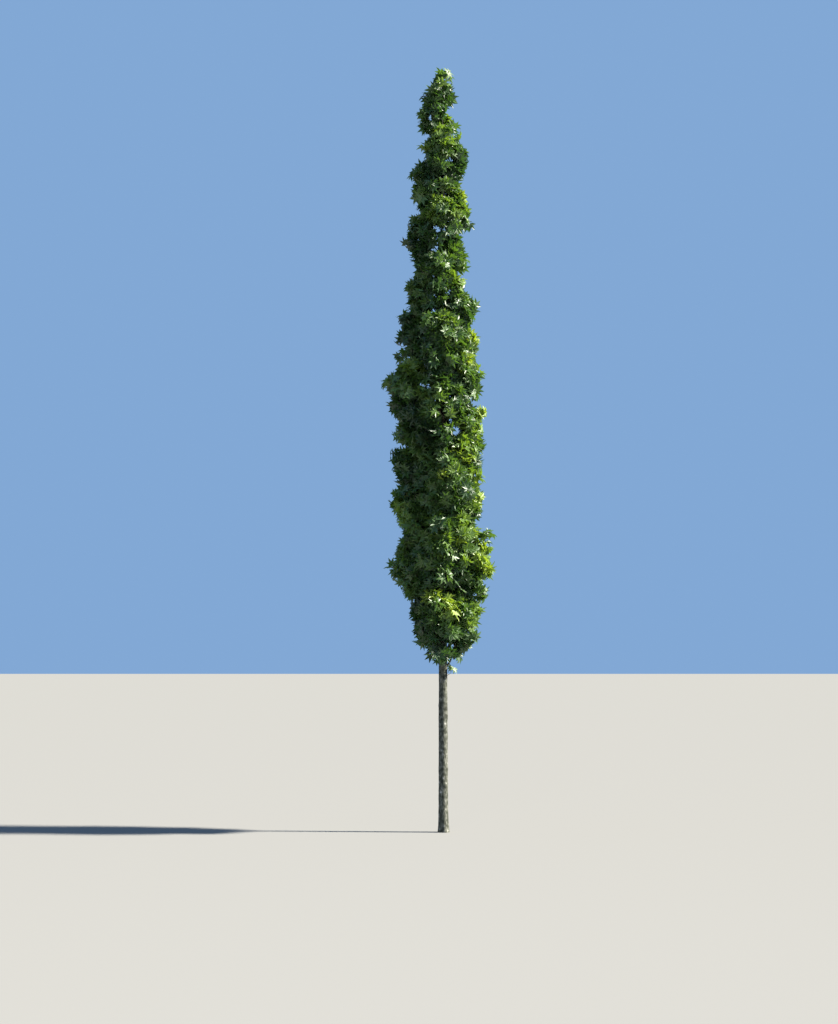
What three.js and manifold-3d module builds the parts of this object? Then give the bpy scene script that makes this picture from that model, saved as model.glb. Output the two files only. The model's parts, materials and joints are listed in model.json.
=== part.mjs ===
// A young sweetgum grown as a tall narrow column: one straight trunk, steep boughs in the lower
// half of the leafy column, and masses of foliage all round it from the top of the bare trunk
// to the tip. Millimetres. +Z is up, the origin is the middle of the trunk's foot, +X is to the
// right and +Y is to the back.
import * as THREE from 'three'
import Module from 'manifold-3d'
import { mergeVertices } from 'three/addons/utils/BufferGeometryUtils.js'

const wasm = await Module()
wasm.setup()

// Trunk: its length to where the topmost mass begins, and its radius without the root flare
const TRUNK_LENGTH = 9820
const FOOT_RADIUS = 64
const CLEAR_TRUNK = 2100
const RADIUS_UNDER_LEAVES = 56
const TRUNK_TIP_RADIUS = 8
const TRUNK_TAPER = 1.22
const TRUNK_SIDES = 14
const TRUNK_RINGS = 24
const RINGS_TO_FOOT = 1.6

// Root flare: how far it stands out at the ground, how fast it fades, and its ridges
const FLARE_RADIUS = 15
const FLARE_HEIGHT = 130
const FLARE_RIDGES = 5
const FLARE_RIDGE_SHARE = 0.35

// Sway of the trunk: one bow to the left high in the column, and a slow wave to and fro
const SWAY = -70
const SWAY_HEIGHT = 6750
const SWAY_SPREAD = 900
const BACK_SWAY = 22
const BACK_SWAY_LENGTH = 7000

// Lumps of the column's outline: height of the middle, reach from the upright through the foot
const LEFT_LUMPS = [
  [2960, 500], [3560, 730], [4230, 710], [5020, 710], [5780, 830], [6600, 680],
  [7170, 530], [7950, 535], [8760, 490], [9330, 320], [9640, 360],
]
const RIGHT_LUMPS = [
  [2900, 560], [3520, 700], [4420, 590], [5300, 630], [6050, 575],
  [6520, 540], [7020, 525], [7700, 385], [8370, 405], [9080, 410],
]

// The masses at the front and back are evenly spaced and reach as far as the outline does
const FRONT_HEIGHTS = { lowest: 2840, step: 900, count: 8 }
const BACK_HEIGHTS = { lowest: 3180, step: 900, count: 8 }

// Turns round the trunk, in degrees from +X, and how far a mass may stray from its side
const LEFT = 180
const RIGHT = 0
const FRONT = 270
const BACK = 90
const OUTLINE_STRAY = 9
const FACING_STRAY = 20

// The topmost mass
const TIP_MIDDLE = new THREE.Vector3(10, 0, 10030)
const TIP_RADIUS = 200

// Each mass keeps to an upright egg, which is this wide on each side where it passes the trunk;
// with a fullness of 2 it is round, and with more its shoulders are squarer
const EGG_WIDTH_AT_TRUNK = 290
const EGG_ALLOWANCE = 50
const EGG_STRETCH = 1.7
const FULLNESS_ABOVE = 3.2
const FULLNESS_BELOW = 2
const WALL_CLEARANCE = 1
const SEARCH_SHARE = 0.02

// Boughs carry the masses whose middle is lower than this
const BOUGHS_UP_TO = 6200
const BOUGH_ROOT_RADIUS = 17
const BOUGH_TIP_RADIUS = 9.5
const LOWEST_BOUGH_ROOT = 2130
const BOUGH_RISE = 900
const BOUGH_BEND_OUT = 0.7
const BOUGH_BEND_UP = 0.3
const BOUGH_STAND_OFF = 60
const BOUGH_TIP_ROOM = 30
const BOUGH_SIDES = 6
const BOUGH_STEPS = 4
const JOINT_CLEARANCE = 0.3

// The stem of a mass: its size, how far out and up it goes, and the room that it needs
const STEM_RADIUS = 9
const STEM_TIP_RADIUS = 5
const STEM_SHARE_OF_TRUNK = 0.75
const STEM_SIDES = 4
const STEM_STEPS = 3
const STEM_LEAN = 0.15
const STEM_RISE = 0.6
const STEM_END_ROOM = 22
const STEM_FOOT_ROOM = 12
const STEM_FOOT_OUT = 30
const STEM_SEARCH_STEP = 20
const STEM_BEND_OUT = 0.2
const STEM_BEND_UP = 0.35

// Leaves are larger than life, because each stands for a spray: lengths as shares of the egg's
// radius, depths in the egg that are tried, and how many directions are tried
const SEED = 911
const LEAF_SHARES = [0.8, 0.6]
const LEAF_DEPTHS = [0.95, 0.83, 0.71, 0.59, 0.47, 0.35]
const LEAF_DIRECTIONS = 34
const LEAVES_MOST = 13
const FACES_IN = -0.35
const LEAF_THICKNESS = 11
const LEAF_DROOP = 0.14

// Lobes and notches of a sweetgum leaf as seen from the end of its stalk, from its tip round
// to its base: turn from the tip in degrees, and share of the leaf's length
const LEAF_OUTLINE = [
  [0, 1], [21, 0.56], [43, 0.92], [66, 0.5], [90, 0.66], [150, 0.09],
]

// How a leaf is held: faced out and up with some wander, its tip drooping down and out
const LEAF_LIFT = 0.35
const LEAF_OUT = 0.1
const LEAF_WANDER = 0.8
const LEAF_BACK = 0.35
const TIP_OUT = 0.3

// A leaf that would leave its space is moved in, up to this many times
const SETTLING_TRIES = 6
const LEAF_ROOM = 1
const SETTLING_STEP = 1
const LEAF_GAP = 3
const LIMB_CLEARANCE = 4
const LIMB_NEAR = 120
const TRUNK_PIECES = 100

// Twigs: how long and how steep they may be, as shares of the leaf that they bear, and where
// on the stem and on each other they can start
const TWIG_LEAST = 0.3
const TWIG_MOST = 1.6
const TWIG_BEHIND = 0.35
const TWIG_FALL = -0.6
const STEEPNESS = 1.5
const STEM_PLACES = 4
const TWIG_PLACES = 2
const TWIG_ROOT_RADIUS = 5
const TWIG_ROOT_LEAST = 2.2
const TWIG_ROOT_SHARE = 0.6
const TWIG_TAPER = 0.8

// Level sight lines through the column, as a grid from each of several sides
const SIGHT_SIDES = 6
const SIGHT_SPACING = 80
const SIGHT_SLOPE = 0.1
const LINES_LEAST = 3

// Small gaps that show sky from where the tree is looked at: across, height, radius
const SKY_GAPS = [
  [-340, 9600, 50], [-240, 9630, 50], [130, 9080, 40], [40, 8090, 25], [-140, 7450, 25],
  [-520, 6500, 45], [220, 5360, 60], [-510, 5130, 45],
]
const VIEWPOINT = new THREE.Vector3(-320, -22700, 2100)
const GAP_DEPTH = 1500

const UP = new THREE.Vector3(0, 0, 1)
const GOLDEN_TURN = Math.PI * (3 - Math.sqrt(5))
const RANDOM_STEP = 48271
const RANDOM_RANGE = 2147483647
const NEARLY_PARALLEL = 1e-9

function vector(x, y, z) {
  return new THREE.Vector3(x, y, z)
}

// The same even random numbers from 0 to 1 each time, for one seed
function seededNumbers(seed) {
  let state = seed
  return () => {
    state = (state * RANDOM_STEP) % RANDOM_RANGE
    return state / RANDOM_RANGE
  }
}

function seededVector(random) {
  return vector(random() - 0.5, random() - 0.5, random() - 0.5)
}

function outwards(degrees) {
  const turn = THREE.MathUtils.degToRad(degrees)
  return vector(Math.cos(turn), Math.sin(turn), 0)
}

// The middle line of the trunk
function trunkMiddle(height) {
  const lean = (height - SWAY_HEIGHT) / SWAY_SPREAD
  const wave = Math.sin((2 * Math.PI * height) / BACK_SWAY_LENGTH)
  const fade = Math.min(1, height / CLEAR_TRUNK)
  return vector(SWAY * Math.exp(-lean * lean), BACK_SWAY * wave * fade, height)
}

function trunkRadius(height) {
  if (height < CLEAR_TRUNK) {
    return THREE.MathUtils.lerp(FOOT_RADIUS, RADIUS_UNDER_LEAVES, height / CLEAR_TRUNK)
  }
  const left = (TRUNK_LENGTH - height) / (TRUNK_LENGTH - CLEAR_TRUNK)
  return Math.max(TRUNK_TIP_RADIUS, RADIUS_UNDER_LEAVES * Math.max(0, left) ** TRUNK_TAPER)
}

function flare(height, turn) {
  const ridge = 1 + FLARE_RIDGE_SHARE * Math.cos(FLARE_RIDGES * turn)
  return FLARE_RADIUS * ridge * Math.exp(-height / FLARE_HEIGHT)
}

// A closed solid whose skin runs from ring to ring, with a flat cap at both ends
function ringedSolid(rings) {
  const sides = rings[0].length
  const positions = rings.flat().flatMap((point) => [point.x, point.y, point.z])
  const faces = []
  for (let ring = 0; ring + 1 < rings.length; ring += 1) {
    for (let side = 0; side < sides; side += 1) {
      const next = (side + 1) % sides
      const low = ring * sides
      const high = low + sides
      faces.push(low + side, low + next, high + next, low + side, high + next, high + side)
    }
  }
  const last = (rings.length - 1) * sides
  for (let side = 1; side + 1 < sides; side += 1) {
    faces.push(0, side + 1, side, last, last + side, last + side + 1)
  }
  return closedMesh(positions, faces)
}

function closedMesh(positions, faces) {
  const geometry = new THREE.BufferGeometry()
  geometry.setAttribute('position', new THREE.Float32BufferAttribute(positions, 3))
  geometry.setIndex(faces)
  return geometry
}

function toSolid(geometry) {
  const merged = mergeVertices(geometry)
  return new wasm.Manifold(new wasm.Mesh({
    numProp: 3,
    vertProperties: new Float32Array(merged.attributes.position.array),
    triVerts: new Uint32Array(merged.index.array),
  }))
}

function toGeometry(solid) {
  const mesh = solid.getMesh()
  const geometry = closedMesh(Array.from(mesh.vertProperties), Array.from(mesh.triVerts))
  geometry.computeVertexNormals()
  return geometry
}

// The largest body of a solid, with any hollow that joining has sealed in it filled
function mainBody(solid) {
  return solid.decompose().reduce((a, b) => (a.volume() >= b.volume() ? a : b))
}

// The trunk, or with some extra radius the room that it needs
function trunkSolid(extra) {
  const rings = []
  for (let step = 0; step <= TRUNK_RINGS; step += 1) {
    const height = TRUNK_LENGTH * (step / TRUNK_RINGS) ** RINGS_TO_FOOT
    const middle = trunkMiddle(height)
    const ring = []
    for (let side = 0; side < TRUNK_SIDES; side += 1) {
      const turn = (2 * Math.PI * side) / TRUNK_SIDES
      const radius = trunkRadius(height) + flare(height, turn) + extra
      ring.push(vector(Math.cos(turn) * radius, Math.sin(turn) * radius, 0).add(middle))
    }
    rings.push(ring)
  }
  return ringedSolid(rings)
}

// A ring of points square to a direction, started from a fixed side so that rings line up
function ringAround(middle, along, radius, sides) {
  const side = vector(0, 1, 0).addScaledVector(along, -along.y).normalize()
  const across = along.clone().cross(side)
  const ring = []
  for (let corner = 0; corner < sides; corner += 1) {
    const turn = (2 * Math.PI * corner) / sides
    ring.push(middle.clone()
      .addScaledVector(side, Math.cos(turn) * radius)
      .addScaledVector(across, Math.sin(turn) * radius))
  }
  return ring
}

// A limb is a curve with a radius that falls from its root to its tip
function limb(curve, rootRadius, tipRadius, steps) {
  const joints = []
  for (let step = 0; step <= steps; step += 1) {
    const share = step / steps
    joints.push({
      point: curve.getPoint(share),
      along: curve.getTangent(share),
      radius: THREE.MathUtils.lerp(rootRadius, tipRadius, share),
    })
  }
  return joints
}

function limbSolid(joints, sides) {
  return ringedSolid(joints.map(({ point, along, radius }) => (
    ringAround(point, along, radius, sides)
  )))
}

// How far a side's lumps reach at any height
function reachAt(lumps, height) {
  const above = lumps.findIndex(([middle]) => middle > height)
  if (above === 0) return lumps[0][1]
  if (above < 0) return lumps[lumps.length - 1][1]
  const [lowHeight, lowReach] = lumps[above - 1]
  const [highHeight, highReach] = lumps[above]
  return THREE.MathUtils.mapLinear(height, lowHeight, highHeight, lowReach, highReach)
}

function evenLumps({ lowest, step, count }) {
  return Array.from({ length: count }, (_, index) => {
    const height = lowest + step * index
    return [height, (reachAt(LEFT_LUMPS, height) + reachAt(RIGHT_LUMPS, height)) / 2]
  })
}

// Where each mass lies, and the egg that it keeps to
function describeMasses() {
  const random = seededNumbers(SEED)
  const sides = [
    ['left', LEFT, OUTLINE_STRAY, LEFT_LUMPS],
    ['right', RIGHT, OUTLINE_STRAY, RIGHT_LUMPS],
    ['front', FRONT, FACING_STRAY, evenLumps(FRONT_HEIGHTS)],
    ['back', BACK, FACING_STRAY, evenLumps(BACK_HEIGHTS)],
  ]
  const masses = sides.flatMap(([side, azimuth, stray, lumps]) => (
    lumps.map(([height, reach], index) => {
      const out = outwards(azimuth + stray * (2 * random() - 1))
      const trunk = trunkMiddle(height)
      const depth = reach + EGG_ALLOWANCE - trunk.dot(out)
      const radius = (depth ** 2 + EGG_WIDTH_AT_TRUNK ** 2) / (2 * depth)
      const middle = trunk.addScaledVector(out, depth - radius)
      return { name: `${side}_${index + 1}`, out, middle, radius }
    })
  ))
  masses.push({ name: 'tip', out: UP, middle: TIP_MIDDLE, radius: TIP_RADIUS })
  return masses
}

// With heights divided by the stretch, each egg is as high as it is wide and two eggs part at
// a flat wall
function flattened(point) {
  return vector(point.x, point.y, point.z / EGG_STRETCH)
}

function giveWalls(masses) {
  const shoulder = 2 ** (1 / 2 - 1 / FULLNESS_ABOVE)
  for (const mass of masses) {
    const middle = flattened(mass.middle)
    mass.walls = []
    for (const other of masses) {
      const towards = flattened(other.middle).sub(middle)
      const apart = towards.length()
      if (other === mass || apart > (mass.radius + other.radius) * shoulder) continue
      const share = (apart ** 2 + mass.radius ** 2 - other.radius ** 2) / (2 * apart)
      mass.walls.push({ towards: towards.normalize(), distance: share - WALL_CLEARANCE })
    }
  }
}

// The shortest way out of a mass's space from a point: its length, less than 0 outside, and
// its direction
function wayOut(mass, point) {
  const from = flattened(point).sub(flattened(mass.middle))
  const width = Math.hypot(from.x, from.y)
  const fullness = from.z > 0 ? FULLNESS_ABOVE : FULLNESS_BELOW
  const reach = (width ** fullness + Math.abs(from.z) ** fullness) ** (1 / fullness)
  let way = { room: mass.radius - reach, towards: from.clone().normalize() }
  for (const { towards, distance } of mass.walls) {
    const room = distance - from.dot(towards)
    if (room < way.room) way = { room, towards }
  }
  return way
}

// The first point on the line from one point to another that has room round it
function firstWithRoom(mass, from, to, room) {
  for (let share = 0; share < 1; share += SEARCH_SHARE) {
    const point = from.clone().lerp(to, share)
    if (wayOut(mass, point).room >= room) return point
  }
  return to.clone()
}

// A bough rises from the trunk to the foot of its mass
function boughTo(mass) {
  const foot = mass.middle.z - mass.radius * EGG_STRETCH
  const inner = trunkMiddle(foot).addScaledVector(mass.out, trunkRadius(foot) + BOUGH_STAND_OFF)
  const tip = firstWithRoom(mass, inner, mass.middle, BOUGH_TIP_ROOM)
  const rootHeight = Math.max(LOWEST_BOUGH_ROOT, tip.z - BOUGH_RISE)
  const root = trunkMiddle(rootHeight)
  const bend = root.clone().lerp(tip, BOUGH_BEND_OUT)
  bend.z = THREE.MathUtils.lerp(rootHeight, tip.z, BOUGH_BEND_UP)
  const curve = new THREE.QuadraticBezierCurve3(root, bend, tip)
  return limb(curve, BOUGH_ROOT_RADIUS, BOUGH_TIP_RADIUS, BOUGH_STEPS)
}

// The stem of a mass ends high in it
function stemEnd(mass) {
  const reach = mass.out.clone().multiplyScalar(mass.radius * STEM_LEAN)
  const top = mass.middle.clone().add(reach)
  top.z += mass.radius * EGG_STRETCH * STEM_RISE
  return firstWithRoom(mass, top, mass.middle, STEM_END_ROOM)
}

// A stem on a bough starts just clear of the bough's tip and goes on from it
function stemFromBough(mass, bough) {
  const { point, along } = bough[bough.length - 1]
  const root = point.clone().addScaledVector(along, JOINT_CLEARANCE)
  const end = stemEnd(mass)
  const bend = root.clone().addScaledVector(along, root.distanceTo(end) / 2)
  const curve = new THREE.QuadraticBezierCurve3(root, bend, end)
  return limb(curve, STEM_RADIUS, STEM_TIP_RADIUS, STEM_STEPS)
}

// A stem on the trunk starts at the lowest place that has room in the mass's space
function stemFromTrunk(mass) {
  const end = stemEnd(mass)
  const lowest = mass.middle.z - mass.radius * EGG_STRETCH
  for (let height = lowest; height < end.z; height += STEM_SEARCH_STEP) {
    const root = trunkMiddle(height)
    const foot = root.clone().addScaledVector(mass.out, trunkRadius(height) + STEM_FOOT_OUT)
    if (wayOut(mass, foot).room >= STEM_FOOT_ROOM) {
      const bend = root.clone().add(end).divideScalar(2)
      bend.addScaledVector(mass.out, mass.radius * STEM_BEND_OUT)
      bend.z = THREE.MathUtils.lerp(root.z, end.z, STEM_BEND_UP)
      const curve = new THREE.QuadraticBezierCurve3(root, bend, end)
      const radius = Math.min(STEM_RADIUS, trunkRadius(height) * STEM_SHARE_OF_TRUNK)
      return limb(curve, radius, STEM_TIP_RADIUS, STEM_STEPS)
    }
  }
  throw new Error(`no room on the trunk for ${mass.name}`)
}

// The stem of the topmost mass goes on from the trunk's tip
function stemFromTip(mass) {
  const root = trunkMiddle(TRUNK_LENGTH)
  root.z += JOINT_CLEARANCE
  const end = stemEnd(mass)
  const bend = root.clone().setZ((root.z + end.z) / 2)
  const curve = new THREE.QuadraticBezierCurve3(root, bend, end)
  return limb(curve, TRUNK_TIP_RADIUS, STEM_TIP_RADIUS, STEM_STEPS)
}

// A point of a leaf, from the leaf's middle, its facing and the way that its tip points
function leafPoint(leaf, turn, length) {
  const across = leaf.tip.clone().cross(leaf.facing)
  return leaf.middle.clone()
    .addScaledVector(leaf.tip, Math.cos(turn) * length * leaf.radius)
    .addScaledVector(across, Math.sin(turn) * length * leaf.radius)
    .addScaledVector(leaf.facing, -LEAF_DROOP * length * length * leaf.radius)
}

// A leaf's outline starts beside the stalk, goes round by the tip and ends beside the stalk
function leafOutline(leaf) {
  const half = LEAF_OUTLINE.map(([degrees, length]) => [
    THREE.MathUtils.degToRad(degrees), length,
  ])
  const left = half.slice(1).reverse().map(([turn, length]) => [-turn, length])
  return [...left, ...half].map(([turn, length]) => leafPoint(leaf, turn, length))
}

// How far the leaf reaches at a turn from its tip
function outlineReach(turn) {
  const degrees = THREE.MathUtils.radToDeg(turn)
  const next = LEAF_OUTLINE.findIndex(([mark]) => mark > degrees)
  if (next < 0) return LEAF_OUTLINE[LEAF_OUTLINE.length - 1][1]
  const [lowTurn, lowLength] = LEAF_OUTLINE[next - 1]
  const [highTurn, highLength] = LEAF_OUTLINE[next]
  return THREE.MathUtils.mapLinear(degrees, lowTurn, highTurn, lowLength, highLength)
}

// A leaf and its twig as one closed body: a thin star that is thickest where the twig meets
// it, and a three-sided twig from there to its root
function leafSolid(leaf) {
  const outline = leaf.outline
  const count = outline.length
  const top = leaf.middle.clone().addScaledVector(leaf.facing, LEAF_THICKNESS / 2)
  const end = twigEnd(leaf)
  const endMiddle = middleOf(end)
  const along = endMiddle.clone().sub(leaf.root).normalize()
  const rootCorners = end.map((corner) => {
    const side = corner.clone().sub(endMiddle)
    side.addScaledVector(along, -side.dot(along)).setLength(leaf.rootRadius)
    return leaf.root.clone().add(side)
  })
  const corners = [...outline, top, end[2], ...rootCorners]
  const [topAt, belowAt, rightAt, leftAt, lowAt] = [0, 1, 2, 3, 4].map((n) => count + n)
  const faces = []
  for (let point = 0; point < count; point += 1) {
    faces.push(topAt, (point + 1) % count, point)
  }
  for (let point = 0; point + 1 < count; point += 1) {
    faces.push(belowAt, point, point + 1)
  }
  const [first, last] = [0, count - 1]
  faces.push(leftAt, rightAt, last, leftAt, last, first)
  faces.push(last, rightAt, lowAt, last, lowAt, belowAt)
  faces.push(first, belowAt, lowAt, first, lowAt, leftAt)
  faces.push(rightAt, leftAt, lowAt)
  return closedMesh(corners.flatMap(({ x, y, z }) => [x, y, z]), faces)
}

// The three corners in which the twig runs into the leaf: right and left of its base, and
// under it
function twigEnd(leaf) {
  const below = leaf.middle.clone().addScaledVector(leaf.facing, -LEAF_THICKNESS / 2)
  return [leaf.outline[leaf.outline.length - 1], leaf.outline[0], below]
}

function middleOf(corners) {
  const sum = corners.reduce((a, b) => a.clone().add(b))
  return sum.divideScalar(corners.length)
}

// The shortest distance between two straight pieces
function pieceDistance(a, b, c, d) {
  const first = b.clone().sub(a)
  const second = d.clone().sub(c)
  const between = a.clone().sub(c)
  const [ff, fs, ss] = [first.dot(first), first.dot(second), second.dot(second)]
  const [fb, sb] = [first.dot(between), second.dot(between)]
  const spread = ff * ss - fs * fs
  const clamp = THREE.MathUtils.clamp
  let share = spread > NEARLY_PARALLEL ? clamp((fs * sb - ss * fb) / spread, 0, 1) : 0
  let other = (fs * share + sb) / ss
  if (other < 0 || other > 1) {
    other = clamp(other, 0, 1)
    share = clamp((fs * other - fb) / ff, 0, 1)
  }
  return between.addScaledVector(first, share).addScaledVector(second, -other).length()
}

// The distance from a point to a straight piece
function distanceToPiece(point, from, to) {
  const along = to.clone().sub(from)
  const share = point.clone().sub(from).dot(along) / along.lengthSq()
  return from.clone().addScaledVector(along, THREE.MathUtils.clamp(share, 0, 1)).distanceTo(point)
}

// Where a straight piece passes through a leaf's plane: how far outside its outline, or
// endless when it stays on one side
function passesOutside(leaf, from, to) {
  const start = from.clone().sub(leaf.middle)
  const end = to.clone().sub(leaf.middle)
  const [low, high] = [start.dot(leaf.facing), end.dot(leaf.facing)]
  if (low * high > 0) return Infinity
  const point = start.lerp(end, low / (low - high))
  const turn = Math.acos(THREE.MathUtils.clamp(point.dot(leaf.tip) / point.length(), -1, 1))
  return point.length() - outlineReach(turn) * leaf.radius
}

// True where a leaf's blade comes too near to a limb
function touchesLimb(leaf, limbs) {
  const outline = leaf.outline
  const near = leaf.radius + LIMB_NEAR
  for (const joints of limbs) {
    for (let step = 0; step + 1 < joints.length; step += 1) {
      const [low, high] = [joints[step], joints[step + 1]]
      const clearance = Math.max(low.radius, high.radius) + LIMB_CLEARANCE
      const middle = leaf.middle
      if (distanceToPiece(middle, low.point, high.point) > near) continue
      if (passesOutside(leaf, low.point, high.point) < clearance) return true
      const edges = outline.map((point, index) => [point, outline[(index + 1) % outline.length]])
      if (edges.some(([a, b]) => pieceDistance(low.point, high.point, a, b) < clearance)) {
        return true
      }
    }
  }
  return false
}

// True where a leaf's twig comes too near to a limb
function twigTouches(leaf, limbs) {
  return limbs.some((joints) => joints.some(({ point, radius }, at) => (
    at > 0 && pieceDistance(joints[at - 1].point, point, leaf.middle, leaf.root)
      < Math.max(radius, joints[at - 1].radius) + LIMB_CLEARANCE
  )))
}

// True where two leaves' blades cross
function crossesLeaf(leaf, other) {
  const [outline, otherOutline] = [leaf.outline, other.outline]
  if (leaf.middle.distanceTo(other.middle) > leaf.radius + other.radius) return false
  const count = outline.length
  for (let index = 0; index < count; index += 1) {
    const next = (index + 1) % count
    if (passesOutside(other, outline[index], outline[next]) < LEAF_GAP) return true
    if (passesOutside(leaf, otherOutline[index], otherOutline[next]) < LEAF_GAP) return true
    if (passesOutside(other, outline[index], leaf.middle) < LEAF_GAP) return true
    if (passesOutside(leaf, otherOutline[index], other.middle) < LEAF_GAP) return true
  }
  return false
}

// True where a leaf's blade would close a gap that shows sky
function coversGap(leaf) {
  return SKY_GAPS.some(([across, height, radius]) => {
    const gap = vector(across, 0, height)
    const beyond = gap.clone().addScaledVector(gap.clone().sub(VIEWPOINT).normalize(), GAP_DEPTH)
    const before = gap.clone().multiplyScalar(2).sub(beyond)
    return passesOutside(leaf, before, beyond) < radius
  })
}

// One of an even spread of directions
function evenDirection(index, count) {
  const height = 1 - (2 * index + 1) / count
  const width = Math.sqrt(1 - height * height)
  const turn = index * GOLDEN_TURN
  return vector(Math.cos(turn) * width, Math.sin(turn) * width, height)
}

// A twig starts at the free place on the stem or on another twig that is nearest to its leaf,
// with places below the leaf counted as nearer than those beside it
function placeFor(leaf, places) {
  let best = null
  for (const place of places) {
    const from = leaf.middle.clone().sub(place.point)
    const apart = from.length()
    const along = from.clone().divideScalar(apart)
    const behind = along.dot(leaf.facing)
    const inLine = along.dot(leaf.tip)
    const reachable = apart > leaf.radius * TWIG_LEAST && apart < leaf.radius * TWIG_MOST
    const open = behind > TWIG_BEHIND || (inLine > 0 && behind > 0)
    if (!reachable || !open || along.z < TWIG_FALL) continue
    const cost = apart * (STEEPNESS - along.z)
    if (best === null || cost < best.cost) best = { place, cost }
  }
  return best && best.place
}

// A leaf in one direction from the middle of its mass, moved in until it is in the space
function settleLeaf(mass, direction, depth, share, random) {
  const middle = flattened(mass.middle).addScaledVector(direction, depth * mass.radius)
  middle.z *= EGG_STRETCH
  const leaf = { middle, radius: mass.radius * share }
  leaf.facing = direction.clone().addScaledVector(UP, LEAF_LIFT)
    .addScaledVector(mass.out, LEAF_OUT)
    .addScaledVector(seededVector(random), LEAF_WANDER).normalize()
  leaf.tip = mass.out.clone().multiplyScalar(TIP_OUT).sub(UP)
    .addScaledVector(seededVector(random), LEAF_WANDER)
  leaf.tip.addScaledVector(leaf.facing, -leaf.tip.dot(leaf.facing)).normalize()
  leaf.middle.addScaledVector(leaf.tip, -leaf.radius * LEAF_BACK)
  for (let tries = 0; tries < SETTLING_TRIES; tries += 1) {
    leaf.outline = leafOutline(leaf)
    const ways = [...leaf.outline, leaf.middle].map((point) => wayOut(mass, point))
    const worst = ways.reduce((a, b) => (a.room < b.room ? a : b))
    if (worst.room > LEAF_ROOM) return leaf
    leaf.middle.addScaledVector(worst.towards, worst.room - LEAF_ROOM - SETTLING_STEP)
  }
  return null
}

// The sight lines that a leaf hides, each named by its side and its place in the grid
function hiddenLines(leaf) {
  const lines = []
  for (let side = 0; side < SIGHT_SIDES; side += 1) {
    const turn = (180 * side) / SIGHT_SIDES
    const along = outwards(turn)
    const across = outwards(turn + 90)
    const slope = along.dot(leaf.facing)
    if (Math.abs(slope) < SIGHT_SLOPE) continue
    const middle = leaf.middle.dot(across)
    const firstAcross = Math.ceil((middle - leaf.radius) / SIGHT_SPACING)
    const firstUp = Math.ceil((leaf.middle.z - leaf.radius) / SIGHT_SPACING)
    for (let x = firstAcross; x * SIGHT_SPACING < middle + leaf.radius; x += 1) {
      for (let z = firstUp; z * SIGHT_SPACING < leaf.middle.z + leaf.radius; z += 1) {
        const from = across.clone().multiplyScalar(x * SIGHT_SPACING).sub(leaf.middle)
        from.z = z * SIGHT_SPACING - leaf.middle.z
        from.addScaledVector(along, -from.dot(leaf.facing) / slope)
        const apart = from.length()
        const swing = Math.acos(THREE.MathUtils.clamp(from.dot(leaf.tip) / apart, -1, 1))
        if (apart < outlineReach(swing) * leaf.radius) lines.push(`${side} ${x} ${z}`)
      }
    }
  }
  return lines
}

// All leaves that have room in a mass's space, clear of limbs and of gaps that show sky
function possibleLeaves(mass, stem, limbs, random) {
  const leaves = []
  for (const share of LEAF_SHARES) {
    for (let index = 0; index < LEAF_DIRECTIONS; index += 1) {
      const direction = evenDirection(index, LEAF_DIRECTIONS)
      if (direction.dot(mass.out) < FACES_IN) continue
      for (const depth of LEAF_DEPTHS) {
        const leaf = settleLeaf(mass, direction, depth, share, random)
        if (leaf && !coversGap(leaf) && !meetsStem(leaf, stem) && !touchesLimb(leaf, limbs)) {
          leaf.hides = hiddenLines(leaf)
          leaves.push(leaf)
        }
      }
    }
  }
  return leaves
}

// Evenly spaced places between two points of a twig or stem
function placesBetween(from, to, count, fromRadius, toRadius) {
  return Array.from({ length: count }, (_, index) => {
    const share = (index + 1) / (count + 1)
    return {
      point: from.clone().lerp(to, share),
      radius: THREE.MathUtils.lerp(fromRadius, toRadius, share),
    }
  })
}

// The places on a stem where twigs can start, clear of the trunk
function placesOnStem(stem) {
  const places = stem.slice(1).flatMap((joint, index) => (
    placesBetween(stem[index].point, joint.point, STEM_PLACES, stem[index].radius, joint.radius)
  ))
  return places.filter(({ point, radius }) => {
    const apart = point.distanceTo(trunkMiddle(point.z))
    return point.z > TRUNK_LENGTH || apart > trunkRadius(point.z) + radius + LIMB_CLEARANCE
  })
}

function placesOnTwig(leaf) {
  const radius = leaf.rootRadius * TWIG_TAPER
  return placesBetween(leaf.root, middleOf(twigEnd(leaf)), TWIG_PLACES, radius, radius)
}

// True where two leaves cross, or the twig of one crosses the other
function meets(leaf, other) {
  return crossesLeaf(leaf, other)
    || passesOutside(leaf, other.root, other.middle) < LEAF_GAP
    || passesOutside(other, leaf.root, leaf.middle) < LEAF_GAP
}

// True where a stem crosses a leaf's blade
function meetsStem(leaf, stem) {
  return stem.some(({ point }, at) => (
    at > 0 && passesOutside(leaf, stem[at - 1].point, point) < LEAF_GAP
  ))
}

// Each next leaf is the one that hides the most sight lines that are still open
function growLeaves(mass, stem, limbs, hidden, random) {
  let places = placesOnStem(stem)
  let possible = possibleLeaves(mass, stem, limbs, random)
  const leaves = []
  while (leaves.length < LEAVES_MOST && possible.length > 0) {
    for (const leaf of possible) {
      leaf.gain = leaf.hides.filter((line) => !hidden.has(line)).length
    }
    const leaf = possible.reduce((a, b) => (a.gain >= b.gain ? a : b))
    if (leaf.gain < LINES_LEAST) break
    possible = possible.filter((other) => other !== leaf)
    const place = placeFor(leaf, places)
    if (!place) continue
    leaf.root = place.point
    leaf.rootRadius = THREE.MathUtils.clamp(
      place.radius * TWIG_ROOT_SHARE, TWIG_ROOT_LEAST, TWIG_ROOT_RADIUS,
    )
    if (leaves.some((other) => meets(leaf, other)) || twigTouches(leaf, limbs)) continue
    leaves.push(leaf)
    leaf.hides.forEach((line) => hidden.add(line))
    places = places.filter((other) => other !== place)
    places.push(...placesOnTwig(leaf))
  }
  return leaves
}

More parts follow.
